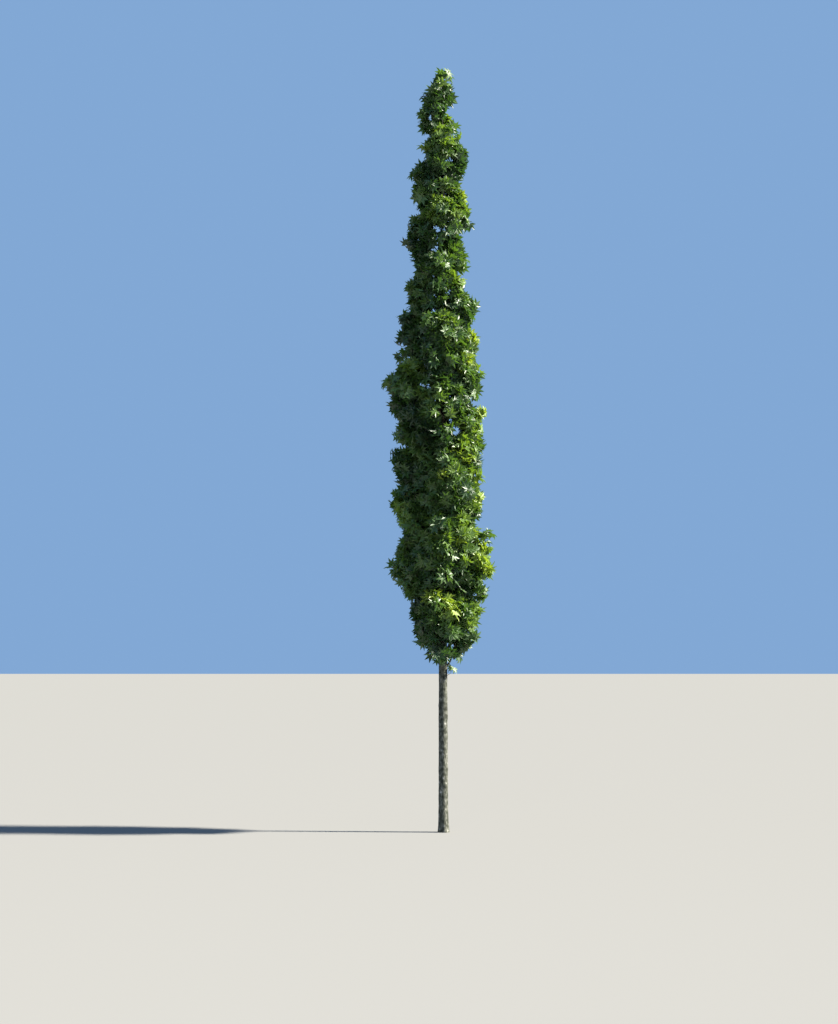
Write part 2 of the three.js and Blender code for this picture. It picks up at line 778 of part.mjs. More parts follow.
// The trunk as a limb, for keeping leaves clear of it
function trunkLimb() {
  return Array.from({ length: TRUNK_PIECES + 1 }, (_, piece) => {
    const height = (TRUNK_LENGTH * piece) / TRUNK_PIECES
    return { point: trunkMiddle(height), radius: trunkRadius(height) }
  })
}

function giveBoughAndStem(mass) {
  if (mass.name === 'tip') {
    mass.stem = stemFromTip(mass)
  } else if (mass.middle.z < BOUGHS_UP_TO) {
    mass.bough = boughTo(mass)
    mass.stem = stemFromBough(mass, mass.bough)
  } else {
    mass.stem = stemFromTrunk(mass)
  }
}

function massSolid(mass, leaves, roomForTrunk) {
  let solid = toSolid(limbSolid(mass.stem, STEM_SIDES))
  for (const leaf of leaves) solid = solid.add(toSolid(leafSolid(leaf)))
  return mass.bough || mass.name === 'tip' ? solid : solid.subtract(roomForTrunk)
}

function addNode(tree, name, solid, material) {
  const mesh = new THREE.Mesh(toGeometry(mainBody(solid)), material)
  mesh.name = name
  tree.add(mesh)
}

// The whole tree
function buildTree() {
  const tree = new THREE.Group()
  const bark = new THREE.MeshStandardMaterial({ color: 0x8d877b, roughness: 0.9 })
  const foliage = new THREE.MeshStandardMaterial({ color: 0x5c8a2c, roughness: 0.6 })
  const roomForTrunk = toSolid(trunkSolid(JOINT_CLEARANCE))
  addNode(tree, 'trunk', toSolid(trunkSolid(0)), bark)

  const masses = describeMasses()
  giveWalls(masses)
  masses.forEach(giveBoughAndStem)
  const boughs = masses.filter((mass) => mass.bough)
  for (const { name, bough } of boughs) {
    const solid = toSolid(limbSolid(bough, BOUGH_SIDES)).subtract(roomForTrunk)
    addNode(tree, `bough_${name}`, solid, bark)
  }
  const limbs = [trunkLimb(), ...boughs.map((mass) => mass.bough)]
  const hidden = new Set()
  masses.forEach((mass, index) => {
    const random = seededNumbers(SEED + 1 + index)
    const others = masses.filter((other) => other !== mass).map((other) => other.stem)
    const leaves = growLeaves(mass, mass.stem, [...limbs, ...others], hidden, random)
    addNode(tree, `foliage_${mass.name}`, massSolid(mass, leaves, roomForTrunk), foliage)
  })
  return tree
}

export default buildTree()
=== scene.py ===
"""A young sweetgum grown as a tall narrow column: bark, twigs, leaf stalks and leaves.

Metres. +Z is up, the origin is the middle of the trunk's foot, +X is to the right and +Y is to
the back.
"""
import json
import math
from types import SimpleNamespace

import bpy
import numpy as np
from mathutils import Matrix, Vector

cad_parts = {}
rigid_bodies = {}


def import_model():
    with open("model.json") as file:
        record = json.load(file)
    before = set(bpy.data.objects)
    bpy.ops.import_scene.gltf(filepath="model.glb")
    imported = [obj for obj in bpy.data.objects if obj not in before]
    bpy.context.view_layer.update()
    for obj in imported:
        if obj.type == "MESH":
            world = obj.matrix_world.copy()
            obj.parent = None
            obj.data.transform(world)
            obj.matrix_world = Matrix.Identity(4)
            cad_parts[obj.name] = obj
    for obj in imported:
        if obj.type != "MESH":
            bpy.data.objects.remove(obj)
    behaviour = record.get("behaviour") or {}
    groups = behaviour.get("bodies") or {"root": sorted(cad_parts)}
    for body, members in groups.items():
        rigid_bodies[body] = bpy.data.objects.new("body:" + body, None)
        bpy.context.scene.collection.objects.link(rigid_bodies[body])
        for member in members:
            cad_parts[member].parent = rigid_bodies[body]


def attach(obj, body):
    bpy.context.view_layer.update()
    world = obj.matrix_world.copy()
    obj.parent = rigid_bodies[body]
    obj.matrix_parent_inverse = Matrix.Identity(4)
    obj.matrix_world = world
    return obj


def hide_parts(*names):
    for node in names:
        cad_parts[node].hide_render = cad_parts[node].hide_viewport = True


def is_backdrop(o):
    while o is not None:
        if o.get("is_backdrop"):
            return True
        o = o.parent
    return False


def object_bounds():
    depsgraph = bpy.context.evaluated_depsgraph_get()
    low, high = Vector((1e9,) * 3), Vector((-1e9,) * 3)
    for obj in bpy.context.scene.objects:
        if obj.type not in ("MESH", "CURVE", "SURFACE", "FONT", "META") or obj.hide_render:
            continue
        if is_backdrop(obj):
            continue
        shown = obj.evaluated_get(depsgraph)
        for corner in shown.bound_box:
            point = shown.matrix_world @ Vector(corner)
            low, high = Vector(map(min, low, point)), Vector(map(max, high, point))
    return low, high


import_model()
cad_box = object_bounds()

# Trunk: its length to where the topmost mass begins, and its radius without the root flare
TRUNK_LENGTH = 9.82
FOOT_RADIUS = 0.064
CLEAR_TRUNK = 2.1
RADIUS_UNDER_LEAVES = 0.056
TRUNK_TIP_RADIUS = 0.008
TRUNK_TAPER = 1.22

# Root flare: how far it stands out at the ground, how fast it fades, and its ridges
FLARE_RADIUS = 0.015
FLARE_HEIGHT = 0.13
FLARE_RIDGES = 5
FLARE_RIDGE_SHARE = 0.35

# Sway of the trunk: one bow to the left high in the column, and a slow wave to and fro
SWAY = -0.07
SWAY_HEIGHT = 6.75
SWAY_SPREAD = 0.9
BACK_SWAY = 0.022
BACK_SWAY_LENGTH = 7.0

# Lumps of the column's outline: height of the middle, reach from the upright through the foot
LEFT_LUMPS = (
    (2.96, 0.5), (3.56, 0.73), (4.23, 0.71), (5.02, 0.71), (5.78, 0.83), (6.6, 0.68),
    (7.17, 0.53), (7.95, 0.535), (8.76, 0.49), (9.33, 0.32), (9.64, 0.36),
)
RIGHT_LUMPS = (
    (2.9, 0.56), (3.52, 0.7), (4.42, 0.59), (5.3, 0.63), (6.05, 0.575),
    (6.52, 0.54), (7.02, 0.525), (7.7, 0.385), (8.37, 0.405), (9.08, 0.41),
)

# The masses at the front and back are evenly spaced and reach as far as the outline does:
# lowest height, step and number
FRONT_HEIGHTS = (2.84, 0.9, 8)
BACK_HEIGHTS = (3.18, 0.9, 8)

# Turns round the trunk, in degrees from +X, and how far a mass may stray from its side
LEFT = 180
RIGHT = 0
FRONT = 270
BACK = 90
OUTLINE_STRAY = 9
FACING_STRAY = 20

# The topmost mass
TIP_MIDDLE = (0.01, 0.0, 10.03)
TIP_RADIUS = 0.2

# Each mass keeps to an upright egg, which is this wide on each side where it passes the trunk;
# with a fullness of 2 it is round, and with more its shoulders are squarer
EGG_WIDTH_AT_TRUNK = 0.29
EGG_ALLOWANCE = 0.05
EGG_STRETCH = 1.7
FULLNESS_ABOVE = 3.2
FULLNESS_BELOW = 2
WALL_CLEARANCE = 0.001
SEARCH_SHARE = 0.02

# Boughs carry the masses whose middle is lower than this
BOUGHS_UP_TO = 6.2
BOUGH_ROOT_RADIUS = 0.017
BOUGH_TIP_RADIUS = 0.0095
LOWEST_BOUGH_ROOT = 2.13
BOUGH_RISE = 0.9
BOUGH_BEND_OUT = 0.7
BOUGH_BEND_UP = 0.3
BOUGH_STAND_OFF = 0.06
BOUGH_TIP_ROOM = 0.03

# The stem of a mass: its size, how far out and up it goes, and the room that it needs
STEM_RADIUS = 0.009
STEM_TIP_RADIUS = 0.004
STEM_SHARE_OF_TRUNK = 0.75
STEM_LEAN = 0.15
STEM_RISE = 0.6
STEM_END_ROOM = 0.022
STEM_FOOT_ROOM = 0.012
STEM_FOOT_OUT = 0.03
STEM_SEARCH_STEP = 0.02
STEM_BEND_OUT = 0.2
STEM_BEND_UP = 0.35

# Ends of shoots: how many directions are tried for them in an egg of the full radius, the power
# of the radius that the number falls with, and how far towards the trunk a direction may face
SHOOT_DIRECTIONS = 60
SHOOT_FULL_RADIUS = 0.4
SHOOT_GROWTH = 3
FACES_IN = -0.45

# Least and most depth of each layer of ends under the column's outside, their room to the
# walls, and how deep in the column the limit of their space may be
SHOOT_LAYERS = ((0.06, 0.16), (0.18, 0.32))
SHOOT_ROOM = 0.02
SHOOT_DEEPEST = 0.4

# Where the limit of their space is deep in the column, ends lie up to this far inside it; no end
# is moved in by more than this share of its way from the egg's middle; and the top shoot ends
# this far under the top of the egg, before the stretch
WALL_INSET = 0.09
DEEPEST_INSET = 0.65
LEADER_INSET = 0.07

# Hollows between the tufts of a mass: depth in an egg of the full radius, and size
HOLLOW_DEPTH = 0.26
HOLLOW_SIZE = 0.06

# Unevenness of the foliage is the sum of waves: how fast each turns along x, y and z, and its
# start
UNEVEN_WAVES = ((1.0, 0.0, 0.7, 0.0), (0.0, 1.1, -0.8, 1.0), (0.6, -0.6, 0.9, 2.0))

# A shoot: its least and most length, how steeply it may fall, and how little steepness counts
# against nearness; its sag as a share of its length; its radius at the root, which is a share
# of the radius of the limb under it, between two limits; and its radius at the tip
SHOOT_LEAST = 0.06
SHOOT_MOST = 0.6
SHOOT_FALL = -0.9
STEEPNESS = 1.5
SHOOT_SAG = 0.14
SHOOT_ROOT_SHARE = 0.6
SHOOT_RADIUS_LEAST = 0.002
SHOOT_RADIUS = 0.0042
SHOOT_TIP_RADIUS = 0.001

# Places where shoots can start: how many on a stem, a bough and a shoot, and the share of a
# bough, from its root, that has none
STEM_PLACES = 40
BOUGH_PLACES = 16
SHOOT_PLACES = 4
BOUGH_BARE_SHARE = 0.3

# A sprig of its own on the trunk
SPRIG_HEIGHT = 2.05
SPRIG_TIP = (0.12, -0.02, 2.15)
SPRIG_LEAVES = 5

# Leaves on a shoot: how many, the share of the shoot, from its root, that has none, the size of
# the last one, and the power of the way along that their size falls with
LEAVES_ON_SHOOT = 14
FIRST_LEAF = 0.42
YOUNG_LEAF = 0.7
YOUNG_LEAF_POWER = 4

# A leaf's stalk: its length and the range of that, how much it points away from the shoot,
# along it and up, its sag as a share of its length, and its radius
STALK_LENGTH = 0.075
STALK_SIZES = (0.7, 1.2)
STALK_SPREAD = 0.9
STALK_FORWARD = 0.55
STALK_RISE = 0.25
STALK_SAG = 0.12
STALK_RADIUS = 0.0011

# A leaf: its length from the stalk's end to the tip, and the range of that
LEAF_LENGTH = 0.118
LEAF_SIZES = (0.72, 1.12)

# How a leaf is held: how much it faces along the shoot, out of the mass and up, how much its
# tip points out and down, and how much both wander
LEAF_ALONG = 0.3
LEAF_OUT = 0.9
LEAF_LIFT = 0.3
TIP_OUT = 0.5
TIP_FALL = 0.2
LEAF_WANDER = 4.0

# Room of a leaf's tip inside the skin and inside the column, and of its stalk's end inside the
# walls; less than 0 lets it pass them. The first two are ragged: by how much, and how finely
LEAF_ROOM = -0.06
LEAF_COLUMN_ROOM = -0.03
LEAF_WALL_ROOM = -0.08
RAGGEDNESS = 0.2
RAGGED_SIZE = 0.028

# Ends of shoots and of stalks keep this clear of the trunk
TRUNK_CLEARANCE = 0.02

# Half of a sweetgum leaf, from its tip round to its base: turn from the tip in degrees, share
# of the leaf's length, and how much that point is raised by the fold along each lobe
LEAF_OUTLINE = (
    (0, 1.0, 0.0), (11, 0.66, 0.05), (23, 0.44, 0.02), (36, 0.67, 0.05), (46, 0.96, 0.0),
    (68, 0.42, 0.02), (94, 0.76, 0.0), (116, 0.38, 0.03), (150, 0.13, 0.0),
)

# How far a leaf's tip droops, as a share of its length, and how steeply its sides fold up
LEAF_DROOPS = (0.06, 0.34)
LEAF_FOLDS = (-0.05, 0.3)

# Small gaps that show sky from where the tree is looked at: across, height, radius
SKY_GAPS = (
    (-0.17, 9.66, 0.03), (0.13, 9.08, 0.03), (0.04, 8.09, 0.015),
    (-0.14, 7.45, 0.015), (-0.52, 6.5, 0.03), (0.19, 5.33, 0.045), (0.12, 5.48, 0.02),
    (-0.51, 5.13, 0.03),
)

# Specks of sky scattered over the upper column: how many, between which heights, how far
# across as a share of the column's reach, and how large
SPECK_SEED = 4
SKY_SPECKS = 45
SPECK_HEIGHTS = (4.9, 9.7)
SPECK_REACH = 0.75
SPECK_RADII = (0.0, 0.014)

# Notches in the outline, told in the same way
NOTCHES = (
    (0.02, 10.5, 0.09), (-0.28, 10.3, 0.1), (-0.38, 10.12, 0.08), (-0.46, 9.48, 0.1),
    (0.31, 10.08, 0.1), (0.22, 10.36, 0.07), (0.26, 9.72, 0.08), (0.42, 8.85, 0.09),
    (-0.54, 7.75, 0.07), (0.47, 7.33, 0.15), (0.54, 6.8, 0.09), (-0.84, 6.24, 0.15),
    (0.56, 6.32, 0.09), (-0.82, 5.4, 0.17), (-0.7, 3.15, 0.08), (0.42, 2.3, 0.12),
)

# Places where the trunk shows between the leaves in front of it
TRUNK_SHOWS = ((-0.02, 5.72, 0.03), (-0.01, 5.58, 0.035), (0.0, 5.44, 0.035))

# By a gap each leaf counts as a disc: its radius, and its middle's distance from the stalk, are
# both this share of the leaf's length
GAP_LEAF_SHARE = 0.5

# The most leaves and stalks that one mesh holds
LEAVES_IN_PIECE = 12000
STALKS_IN_PIECE = 30000

# Freshness of a shoot's green, which also carries painted light: how much it gains with its height
# and its reach in the mass, partly for new growth and partly as painted sunlight on the tops and
# outsides of the masses with painted shade inside them, with the sunny side as painted sunlight,
# and in patches of the foliage of this size, how much it loses for each metre up the tree, how
# much it wanders, and where one colour gives way to the next
# Partly new growth, partly painted light: greens get lighter high and far out in a mass and darker
# inside it
FRESH_AND_LIT_BY_HEIGHT = 0.3
FRESH_AND_LIT_BY_DEPTH = 0.12
# Painted sunlight: greens get lighter towards the sunny side, on the right
PAINTED_SUNLIGHT_BY_SIDE = 0.14
FRESHNESS_BY_PATCH = 0.22
PATCH_SIZE = 0.13
FRESHNESS_FALL = 0.014
FRESHNESS_WANDER = 0.22
FRESH_AND_LIT_STEPS = (0.24, 0.38, 0.55, 0.66)

# Leaf colours, from the old leaves inside to the new ones at the tops of the masses; the darker
# ones are partly painted shade inside the masses, and the lighter ones partly painted sunlight on
# their tops and on the sunny side
LEAF_COLOURS = (
    ("deep", (0.016, 0.046, 0.013)),
    ("dark", (0.029, 0.073, 0.017)),
    ("middle", (0.053, 0.111, 0.022)),
    ("fresh", (0.104, 0.180, 0.028)),
    ("young", (0.185, 0.265, 0.032)),
)
STALK_COLOUR = (0.16, 0.2, 0.05)

# Leaf surface: scale and detail of its mottling, the colour's shares in it, the gloss, the
# strength and depth of the fine relief, and the share and tint of light that comes through
LEAF_MOTTLING = (60.0, 3.0)
LEAF_SHADES = ((0.3, 0.78), (0.7, 1.22))
LEAF_ROUGHNESS = 0.46
LEAF_SPECULAR = 0.65
LEAF_BUMP = (0.25, 0.002)
LIGHT_THROUGH_LEAF = 0.25
TINT_THROUGH_LEAF = (2.2, 2.1, 0.8)

# Bark surface: scale, detail and stretch of its patches and its fine furrows, with the patches'
# colours and the painted shade in the furrows from the lowest to the highest value, then as for a
# leaf
BARK_PATCHES = (24.0, 6.0, (1, 1, 0.75))
BARK_COLOURS = (
    (0.36, (0.032, 0.035, 0.026)), (0.46, (0.065, 0.070, 0.054)),
    (0.56, (0.110, 0.114, 0.094)), (0.64, (0.17, 0.17, 0.15)), (0.72, (0.44, 0.44, 0.40)),
)
BARK_FURROWS = (70.0, 5.0, (1, 1, 0.3))
# Painted shade: darkens the colour where the furrow pattern is low, in the furrows of the relief
PAINTED_FURROW_SHADE = ((0.32, (0.45, 0.44, 0.42)), (0.56, (1, 1, 1)))
BARK_ROUGHNESS = 0.9
BARK_SPECULAR = 0.25
BARK_BUMP = (0.8, 0.004)

# Twig surface, told in the same way
TWIG_STREAKS = (40.0, 3.0)
TWIG_COLOURS = ((0.35, (0.07, 0.055, 0.035)), (0.65, (0.17, 0.145, 0.1)))
TWIG_ROUGHNESS = 0.75
TWIG_BUMP = (0.4, 0.001)

# Bark relief: knots where lower branches were lost, as height, turn from +X in degrees,
# radius and how far they stand out; how deep the hollow in a knot is as a share of that, and
# how fast it fades outwards
KNOTS = (
    (1.79, 310, 0.016, 0.007), (1.51, 345, 0.022, 0.009), (1.25, 350, 0.018, 0.007),
    (1.1, 215, 0.016, 0.006), (0.83, 335, 0.02, 0.009), (0.61, 300, 0.02, 0.007),
    (0.48, 330, 0.016, 0.007), (1.66, 150, 0.02, 0.007), (0.95, 80, 0.018, 0.007),
)
KNOT_HOLLOW = 0.7
KNOT_HOLLOW_FADE = 4

# Lumps, furrows and plates of the bark: how many go round the trunk, and the height of one, with
# spare rows above its tip; how deep the lumps are, and the furrows and plates together, with the
# share of each
LUMP_CELLS = (4, 0.16)
FURROW_CELLS = (26, 0.075)
PLATE_CELLS = (14, 0.03)
SPARE_ROWS = 3
LUMP_DEPTH = 0.00175
FURROW_DEPTH = 0.0022
FURROW_SHARE = 0.6
PLATE_SHARE = 0.4

# The relief gets shallower with the trunk's radius, down to this share, and furrows and plates
# lose this share more by the trunk's tip
RELIEF_LEAST = 0.2
RELIEF_FADE = 0.6

# How finely limbs are made: rings along them and sides round them
TRUNK_RING_STEP = 0.008
LEAFY_TRUNK_RINGS = 300
TRUNK_SIDES = 72
BOUGH_RINGS = 30
BOUGH_SIDES = 12
STEM_RINGS = 14
STEM_SIDES = 8
SHOOT_RINGS = 5
SHOOT_SIDES = 4
STALK_SIDES = 3

# Plain pale floor: how far it goes each way, and its colour
FLOOR_REACH = 2000.0
FLOOR_COLOUR = (0.195, 0.192, 0.185)

# Light: a sun high on the right, whose width is in degrees, a large soft light at the front, and
# the sky; both lights point at the middle of the tree
LIT_POINT = (0, 0, 5.5)
SUN_PLACE = (17.0, -1.0, 19.0)
SUN_WIDTH = 4.0
SUN_POWER = 18.0
SUN_COLOUR = (1.0, 0.95, 0.83)
FILL_PLACE = (-3.0, -21.0, 14.0)
FILL_SIZE = 5.0
FILL_POWER = 500
FILL_COLOUR = (0.97, 0.98, 1.0)
SKY_COLOUR = (0.32, 0.56, 0.95)
SKY_STRENGTH = 0.7

# The camera stands where the photographer stood: frame and focal length in pixels, place,
# pitch up in degrees, sensor in millimetres, and how far it sees
IMAGE_WIDTH = 838
IMAGE_HEIGHT = 1024
FOCAL_PIXELS = 1700
CAMERA = (-0.32, -22.7, 2.1)
CAMERA_PITCH = 5.38
SENSOR = 36
SIGHT_LENGTH = 5000

# Seed of the random numbers, and the numbers of their rule for the masses
SEED = 911
RANDOM_STEP = 48271
RANDOM_RANGE = 2147483647

UP = np.array((0.0, 0.0, 1.0))
STRETCH = np.array((1, 1, EGG_STRETCH))
NEARLY_UPRIGHT = 0.9
GOLDEN_TURN = math.pi * (3 - math.sqrt(5))
SLIGHTEST = 0.0001


# Shapes shared with the solids

def seeded_numbers(seed):
    """Even random numbers from 0 to 1, the same each time for one seed."""
    state = seed
    while True:
        state = state * RANDOM_STEP % RANDOM_RANGE
        yield state / RANDOM_RANGE


def outwards(degrees):
    """The level direction at a turn from +X."""
    turn = math.radians(degrees)
    return np.array((math.cos(turn), math.sin(turn), 0.0))


def unit(vectors):
    return vectors / np.linalg.norm(vectors, axis=-1, keepdims=True)


def trunk_middle(height):
    """The middle line of the trunk."""
    height = np.asarray(height, float)
    lean = (height - SWAY_HEIGHT) / SWAY_SPREAD
    wave = np.sin(2 * math.pi * height / BACK_SWAY_LENGTH)
    fade = np.minimum(1, height / CLEAR_TRUNK)
    return np.stack((SWAY * np.exp(-lean * lean), BACK_SWAY * wave * fade, height), -1)


def trunk_radius(height):
    """The trunk's radius without its flare and relief."""
    height = np.asarray(height, float)
    bare = FOOT_RADIUS + (RADIUS_UNDER_LEAVES - FOOT_RADIUS) * height / CLEAR_TRUNK
    left = np.clip((TRUNK_LENGTH - height) / (TRUNK_LENGTH - CLEAR_TRUNK), 0, None)
    leafy = np.maximum(TRUNK_TIP_RADIUS, RADIUS_UNDER_LEAVES * left**TRUNK_TAPER)
    return np.where(height < CLEAR_TRUNK, bare, leafy)


def flare(height, turn):
    """How far the ridged root flare stands out of the trunk."""
    ridge = 1 + FLARE_RIDGE_SHARE * np.cos(FLARE_RIDGES * turn)
    return FLARE_RADIUS * ridge * np.exp(-height / FLARE_HEIGHT)


def outline_reaches(heights):
    """The outline's reach to the left and to the right at each height."""
    return [np.interp(heights, *zip(*lumps)) for lumps in (LEFT_LUMPS, RIGHT_LUMPS)]


def even_lumps(lowest, step, count):
    """Lumps at even heights that reach as far as the left and right ones do there."""
    heights = [lowest + step * index for index in range(count)]
    return list(zip(heights, sum(outline_reaches(heights)) / 2))


def column_room(points):
    """How far points are inside the column's reach at their height."""
    left, right = outline_reaches(points[..., 2])
    width = np.linalg.norm(points[..., :2], axis=-1)
    share = (1 + points[..., 0] / np.maximum(width, TRUNK_TIP_RADIUS)) / 2
    return left + (right - left) * share - width


def describe_masses():
    """Where each mass lies, and the egg that it keeps to."""
    random = seeded_numbers(SEED)
    sides = (
        ("left", LEFT, OUTLINE_STRAY, LEFT_LUMPS),
        ("right", RIGHT, OUTLINE_STRAY, RIGHT_LUMPS),
        ("front", FRONT, FACING_STRAY, even_lumps(*FRONT_HEIGHTS)),
        ("back", BACK, FACING_STRAY, even_lumps(*BACK_HEIGHTS)),
    )
    masses = []
    for side, azimuth, stray, lumps in sides:
        for number, (height, reach) in enumerate(lumps, start=1):
            out = outwards(azimuth + stray * (2 * next(random) - 1))
            trunk = trunk_middle(height)
            depth = reach + EGG_ALLOWANCE - trunk @ out
            radius = (depth**2 + EGG_WIDTH_AT_TRUNK**2) / (2 * depth)
            middle = trunk + out * (depth - radius)
            masses.append(SimpleNamespace(
                name=f"{side}_{number}", out=out, middle=middle, radius=radius
            ))
    masses.append(SimpleNamespace(
        name="tip", out=UP, middle=np.array(TIP_MIDDLE), radius=TIP_RADIUS
    ))
    return masses


def flattened(points):
    """With heights divided by the stretch, each egg is as high as it is wide."""
    return points / STRETCH


def give_walls(masses):
    """Two eggs that would cross part at a flat wall between them."""
    shoulder = 2 ** (1 / 2 - 1 / FULLNESS_ABOVE)
    for mass in masses:
        towards = []
        distances = []
        for other in masses:
            between = flattened(other.middle) - flattened(mass.middle)
            apart = np.linalg.norm(between)
            if other is mass or apart > (mass.radius + other.radius) * shoulder:
                continue
            share = (apart**2 + mass.radius**2 - other.radius**2) / (2 * apart)
            towards.append(between / apart)
            distances.append(share - WALL_CLEARANCE)
        mass.towards = np.array(towards)
        mass.distances = np.array(distances)


def egg_through(points):
    """The radius of the egg round the origin whose skin passes through each point."""
    fullness = np.where(points[..., 2] > 0, FULLNESS_ABOVE, FULLNESS_BELOW)
    width = np.linalg.norm(points[..., :2], axis=-1)
    return (width**fullness + np.abs(points[..., 2]) ** fullness) ** (1 / fullness)


def skin_reach(mass, directions):
    """How far the skin is from the middle of the egg in each direction."""
    return mass.radius / egg_through(directions)


def skin_room(mass, points):
    """How far points are inside a mass's egg, less than 0 outside it, and the way out."""
    start = flattened(points) - flattened(mass.middle)
    return mass.radius - egg_through(start), unit(start)


def wall_room(mass, points):
    """How far points are inside the walls of a mass's space, and the way out."""
    start = flattened(points) - flattened(mass.middle)
    rooms = mass.distances - start @ mass.towards.T
    nearest = rooms.argmin(-1)
    return rooms.min(-1), mass.towards[nearest]


def least_room(mass, points):
    """The least room on either count."""
    return np.minimum(skin_room(mass, points)[0], wall_room(mass, points)[0])


def first_with_room(mass, start, end, room):
    """The first point on the line from one point to another that has room round it."""
    for share in np.arange(0, 1, SEARCH_SHARE):
        point = start + (end - start) * share
        if least_room(mass, point) >= room:
            return point
    return end


def limb(root, bend, tip, root_radius, tip_radius):
    """A limb is a curve with a radius that falls from its root to its tip."""
    return SimpleNamespace(
        root=root, bend=bend, tip=tip, root_radius=root_radius, tip_radius=tip_radius
    )


def limb_points(branch, shares):
    """Points of a limb, or of many limbs held in arrays, at shares of the way along."""
    share = np.asarray(shares)[..., None]
    start = (1 - share) ** 2 * branch.root
    return start + 2 * share * (1 - share) * branch.bend + share**2 * branch.tip


def limb_along(branch, shares):
    """The direction of a limb at shares of the way along."""
    share = np.asarray(shares)[..., None]
    start = (1 - share) * (branch.bend - branch.root)
    return unit(start + share * (branch.tip - branch.bend))


def limb_radii(branch, shares):
    """The radius of a limb at shares of the way along."""
    shares = np.asarray(shares)
    return branch.root_radius + (branch.tip_radius - branch.root_radius) * shares


def bough_to(mass):
    """A bough rises from the trunk to the foot of its mass."""
    foot = mass.middle[2] - mass.radius * EGG_STRETCH
    inner = trunk_middle(foot) + mass.out * (trunk_radius(foot) + BOUGH_STAND_OFF)
    tip = first_with_room(mass, inner, mass.middle, BOUGH_TIP_ROOM)
    root = trunk_middle(max(LOWEST_BOUGH_ROOT, tip[2] - BOUGH_RISE))
    bend = root + (tip - root) * np.array((BOUGH_BEND_OUT, BOUGH_BEND_OUT, BOUGH_BEND_UP))
    return limb(root, bend, tip, BOUGH_ROOT_RADIUS, BOUGH_TIP_RADIUS)


def stem_end(mass):
    """The stem of a mass ends high in it."""
    top = mass.middle + mass.out * (mass.radius * STEM_LEAN)
    top = top + UP * (mass.radius * EGG_STRETCH * STEM_RISE)
    return first_with_room(mass, top, mass.middle, STEM_END_ROOM)


def stem_from_bough(mass):
    """A stem on a bough starts at the bough's tip and goes on from it."""
    root = mass.bough.tip
    end = stem_end(mass)
    bend = root + limb_along(mass.bough, 1.0) * (np.linalg.norm(end - root) / 2)
    return limb(root, bend, end, mass.bough.tip_radius, STEM_TIP_RADIUS)


def stem_from_trunk(mass):
    """A stem on the trunk starts at the lowest place that has room in the mass's space."""
    end = stem_end(mass)
    lowest = mass.middle[2] - mass.radius * EGG_STRETCH
    for height in np.arange(lowest, end[2], STEM_SEARCH_STEP):
        root = trunk_middle(height)
        foot = root + mass.out * (trunk_radius(height) + STEM_FOOT_OUT)
        if least_room(mass, foot) >= STEM_FOOT_ROOM:
            bend = (root + end) / 2 + mass.out * (mass.radius * STEM_BEND_OUT)
            bend[2] = root[2] + (end[2] - root[2]) * STEM_BEND_UP
            radius = min(STEM_RADIUS, trunk_radius(height) * STEM_SHARE_OF_TRUNK)
            return limb(root, bend, end, radius, STEM_TIP_RADIUS)
    raise ValueError(f"no room on the trunk for {mass.name}")


def stem_from_tip(mass):
    """The stem of the topmost mass goes on from the trunk's tip."""
    root = trunk_middle(TRUNK_LENGTH)
    end = stem_end(mass)
    bend = root + UP * ((end[2] - root[2]) / 2)
    return limb(root, bend, end, TRUNK_TIP_RADIUS, STEM_TIP_RADIUS)


def give_bough_and_stem(mass):
    """Low masses have a bough, and every mass has a stem."""
    mass.bough = None
    if mass.name == "tip":
        mass.stem = stem_from_tip(mass)
    elif mass.middle[2] < BOUGHS_UP_TO:
        mass.bough = bough_to(mass)
        mass.stem = stem_from_bough(mass)
    else:
        mass.stem = stem_from_trunk(mass)


# Shoots

def even_directions(count):
    """An even spread of directions."""
    index = np.arange(count)
    height = 1 - (2 * index + 1) / count
    width = np.sqrt(1 - height**2)
    turn = index * GOLDEN_TURN
    return np.stack((np.cos(turn) * width, np.sin(turn) * width, height), -1)


def trunk_room(points):
    """How far points are outside the trunk's skin."""
    heights = np.clip(points[..., 2], 0, TRUNK_LENGTH)
    return np.linalg.norm(points - trunk_middle(heights), axis=-1) - trunk_radius(heights)


def wall_reach(mass, directions):
    """How far the nearest wall is from the middle of the egg in each direction."""
    closing = directions @ mass.towards.T
    reach = mass.distances / np.maximum(closing, SLIGHTEST)
    return np.where(closing > SLIGHTEST, reach, np.inf).min(-1)


def unevenness(points, size):
    """Smooth unevenness of the foliage: 0 where a tuft stands out and 1 in a hollow."""
    x, y, z = (points / size).T
    waves = sum(np.sin(x * by_x + y * by_y + z * by_z + start)
                for by_x, by_y, by_z, start in UNEVEN_WAVES)
    return np.clip(0.5 - waves / len(UNEVEN_WAVES), 0, 1)


def shoot_ends(mass, random):
    """Where shoots could end in a mass: evenly over its skin, and along its walls where these
    are near the outside of the column."""
    ends = []
    for least, most in SHOOT_LAYERS:
        count = int(SHOOT_DIRECTIONS * (mass.radius / SHOOT_FULL_RADIUS) ** SHOOT_GROWTH)
        directions = even_directions(count)
        directions = directions[directions @ mass.out > FACES_IN]
        reach = np.minimum(skin_reach(mass, directions), wall_reach(mass, directions) - SHOOT_ROOM)
        limits = mass.middle + directions * reach[:, None] * STRETCH
        spare = np.maximum(column_room(limits), 0)
        inset = random.uniform(least, most, len(directions)) - spare
        depth = HOLLOW_DEPTH * mass.radius / SHOOT_FULL_RADIUS
        inset += depth * unevenness(limits, HOLLOW_SIZE)
        inset = np.maximum(inset, random.uniform(0, WALL_INSET, len(directions)))
        depths = reach - np.minimum(inset, np.maximum(reach * DEEPEST_INSET, 0))
        layer = mass.middle + directions * depths[:, None] * STRETCH
        ends.append(layer[(reach > 0) & (spare < SHOOT_DEEPEST)])
    top = mass.middle + UP * ((mass.radius - LEADER_INSET) * EGG_STRETCH)
    ends = np.concatenate((*ends, top[None]))
    inside = least_room(mass, ends) > -SLIGHTEST
    return ends[inside & (trunk_room(ends) > TRUNK_CLEARANCE)]


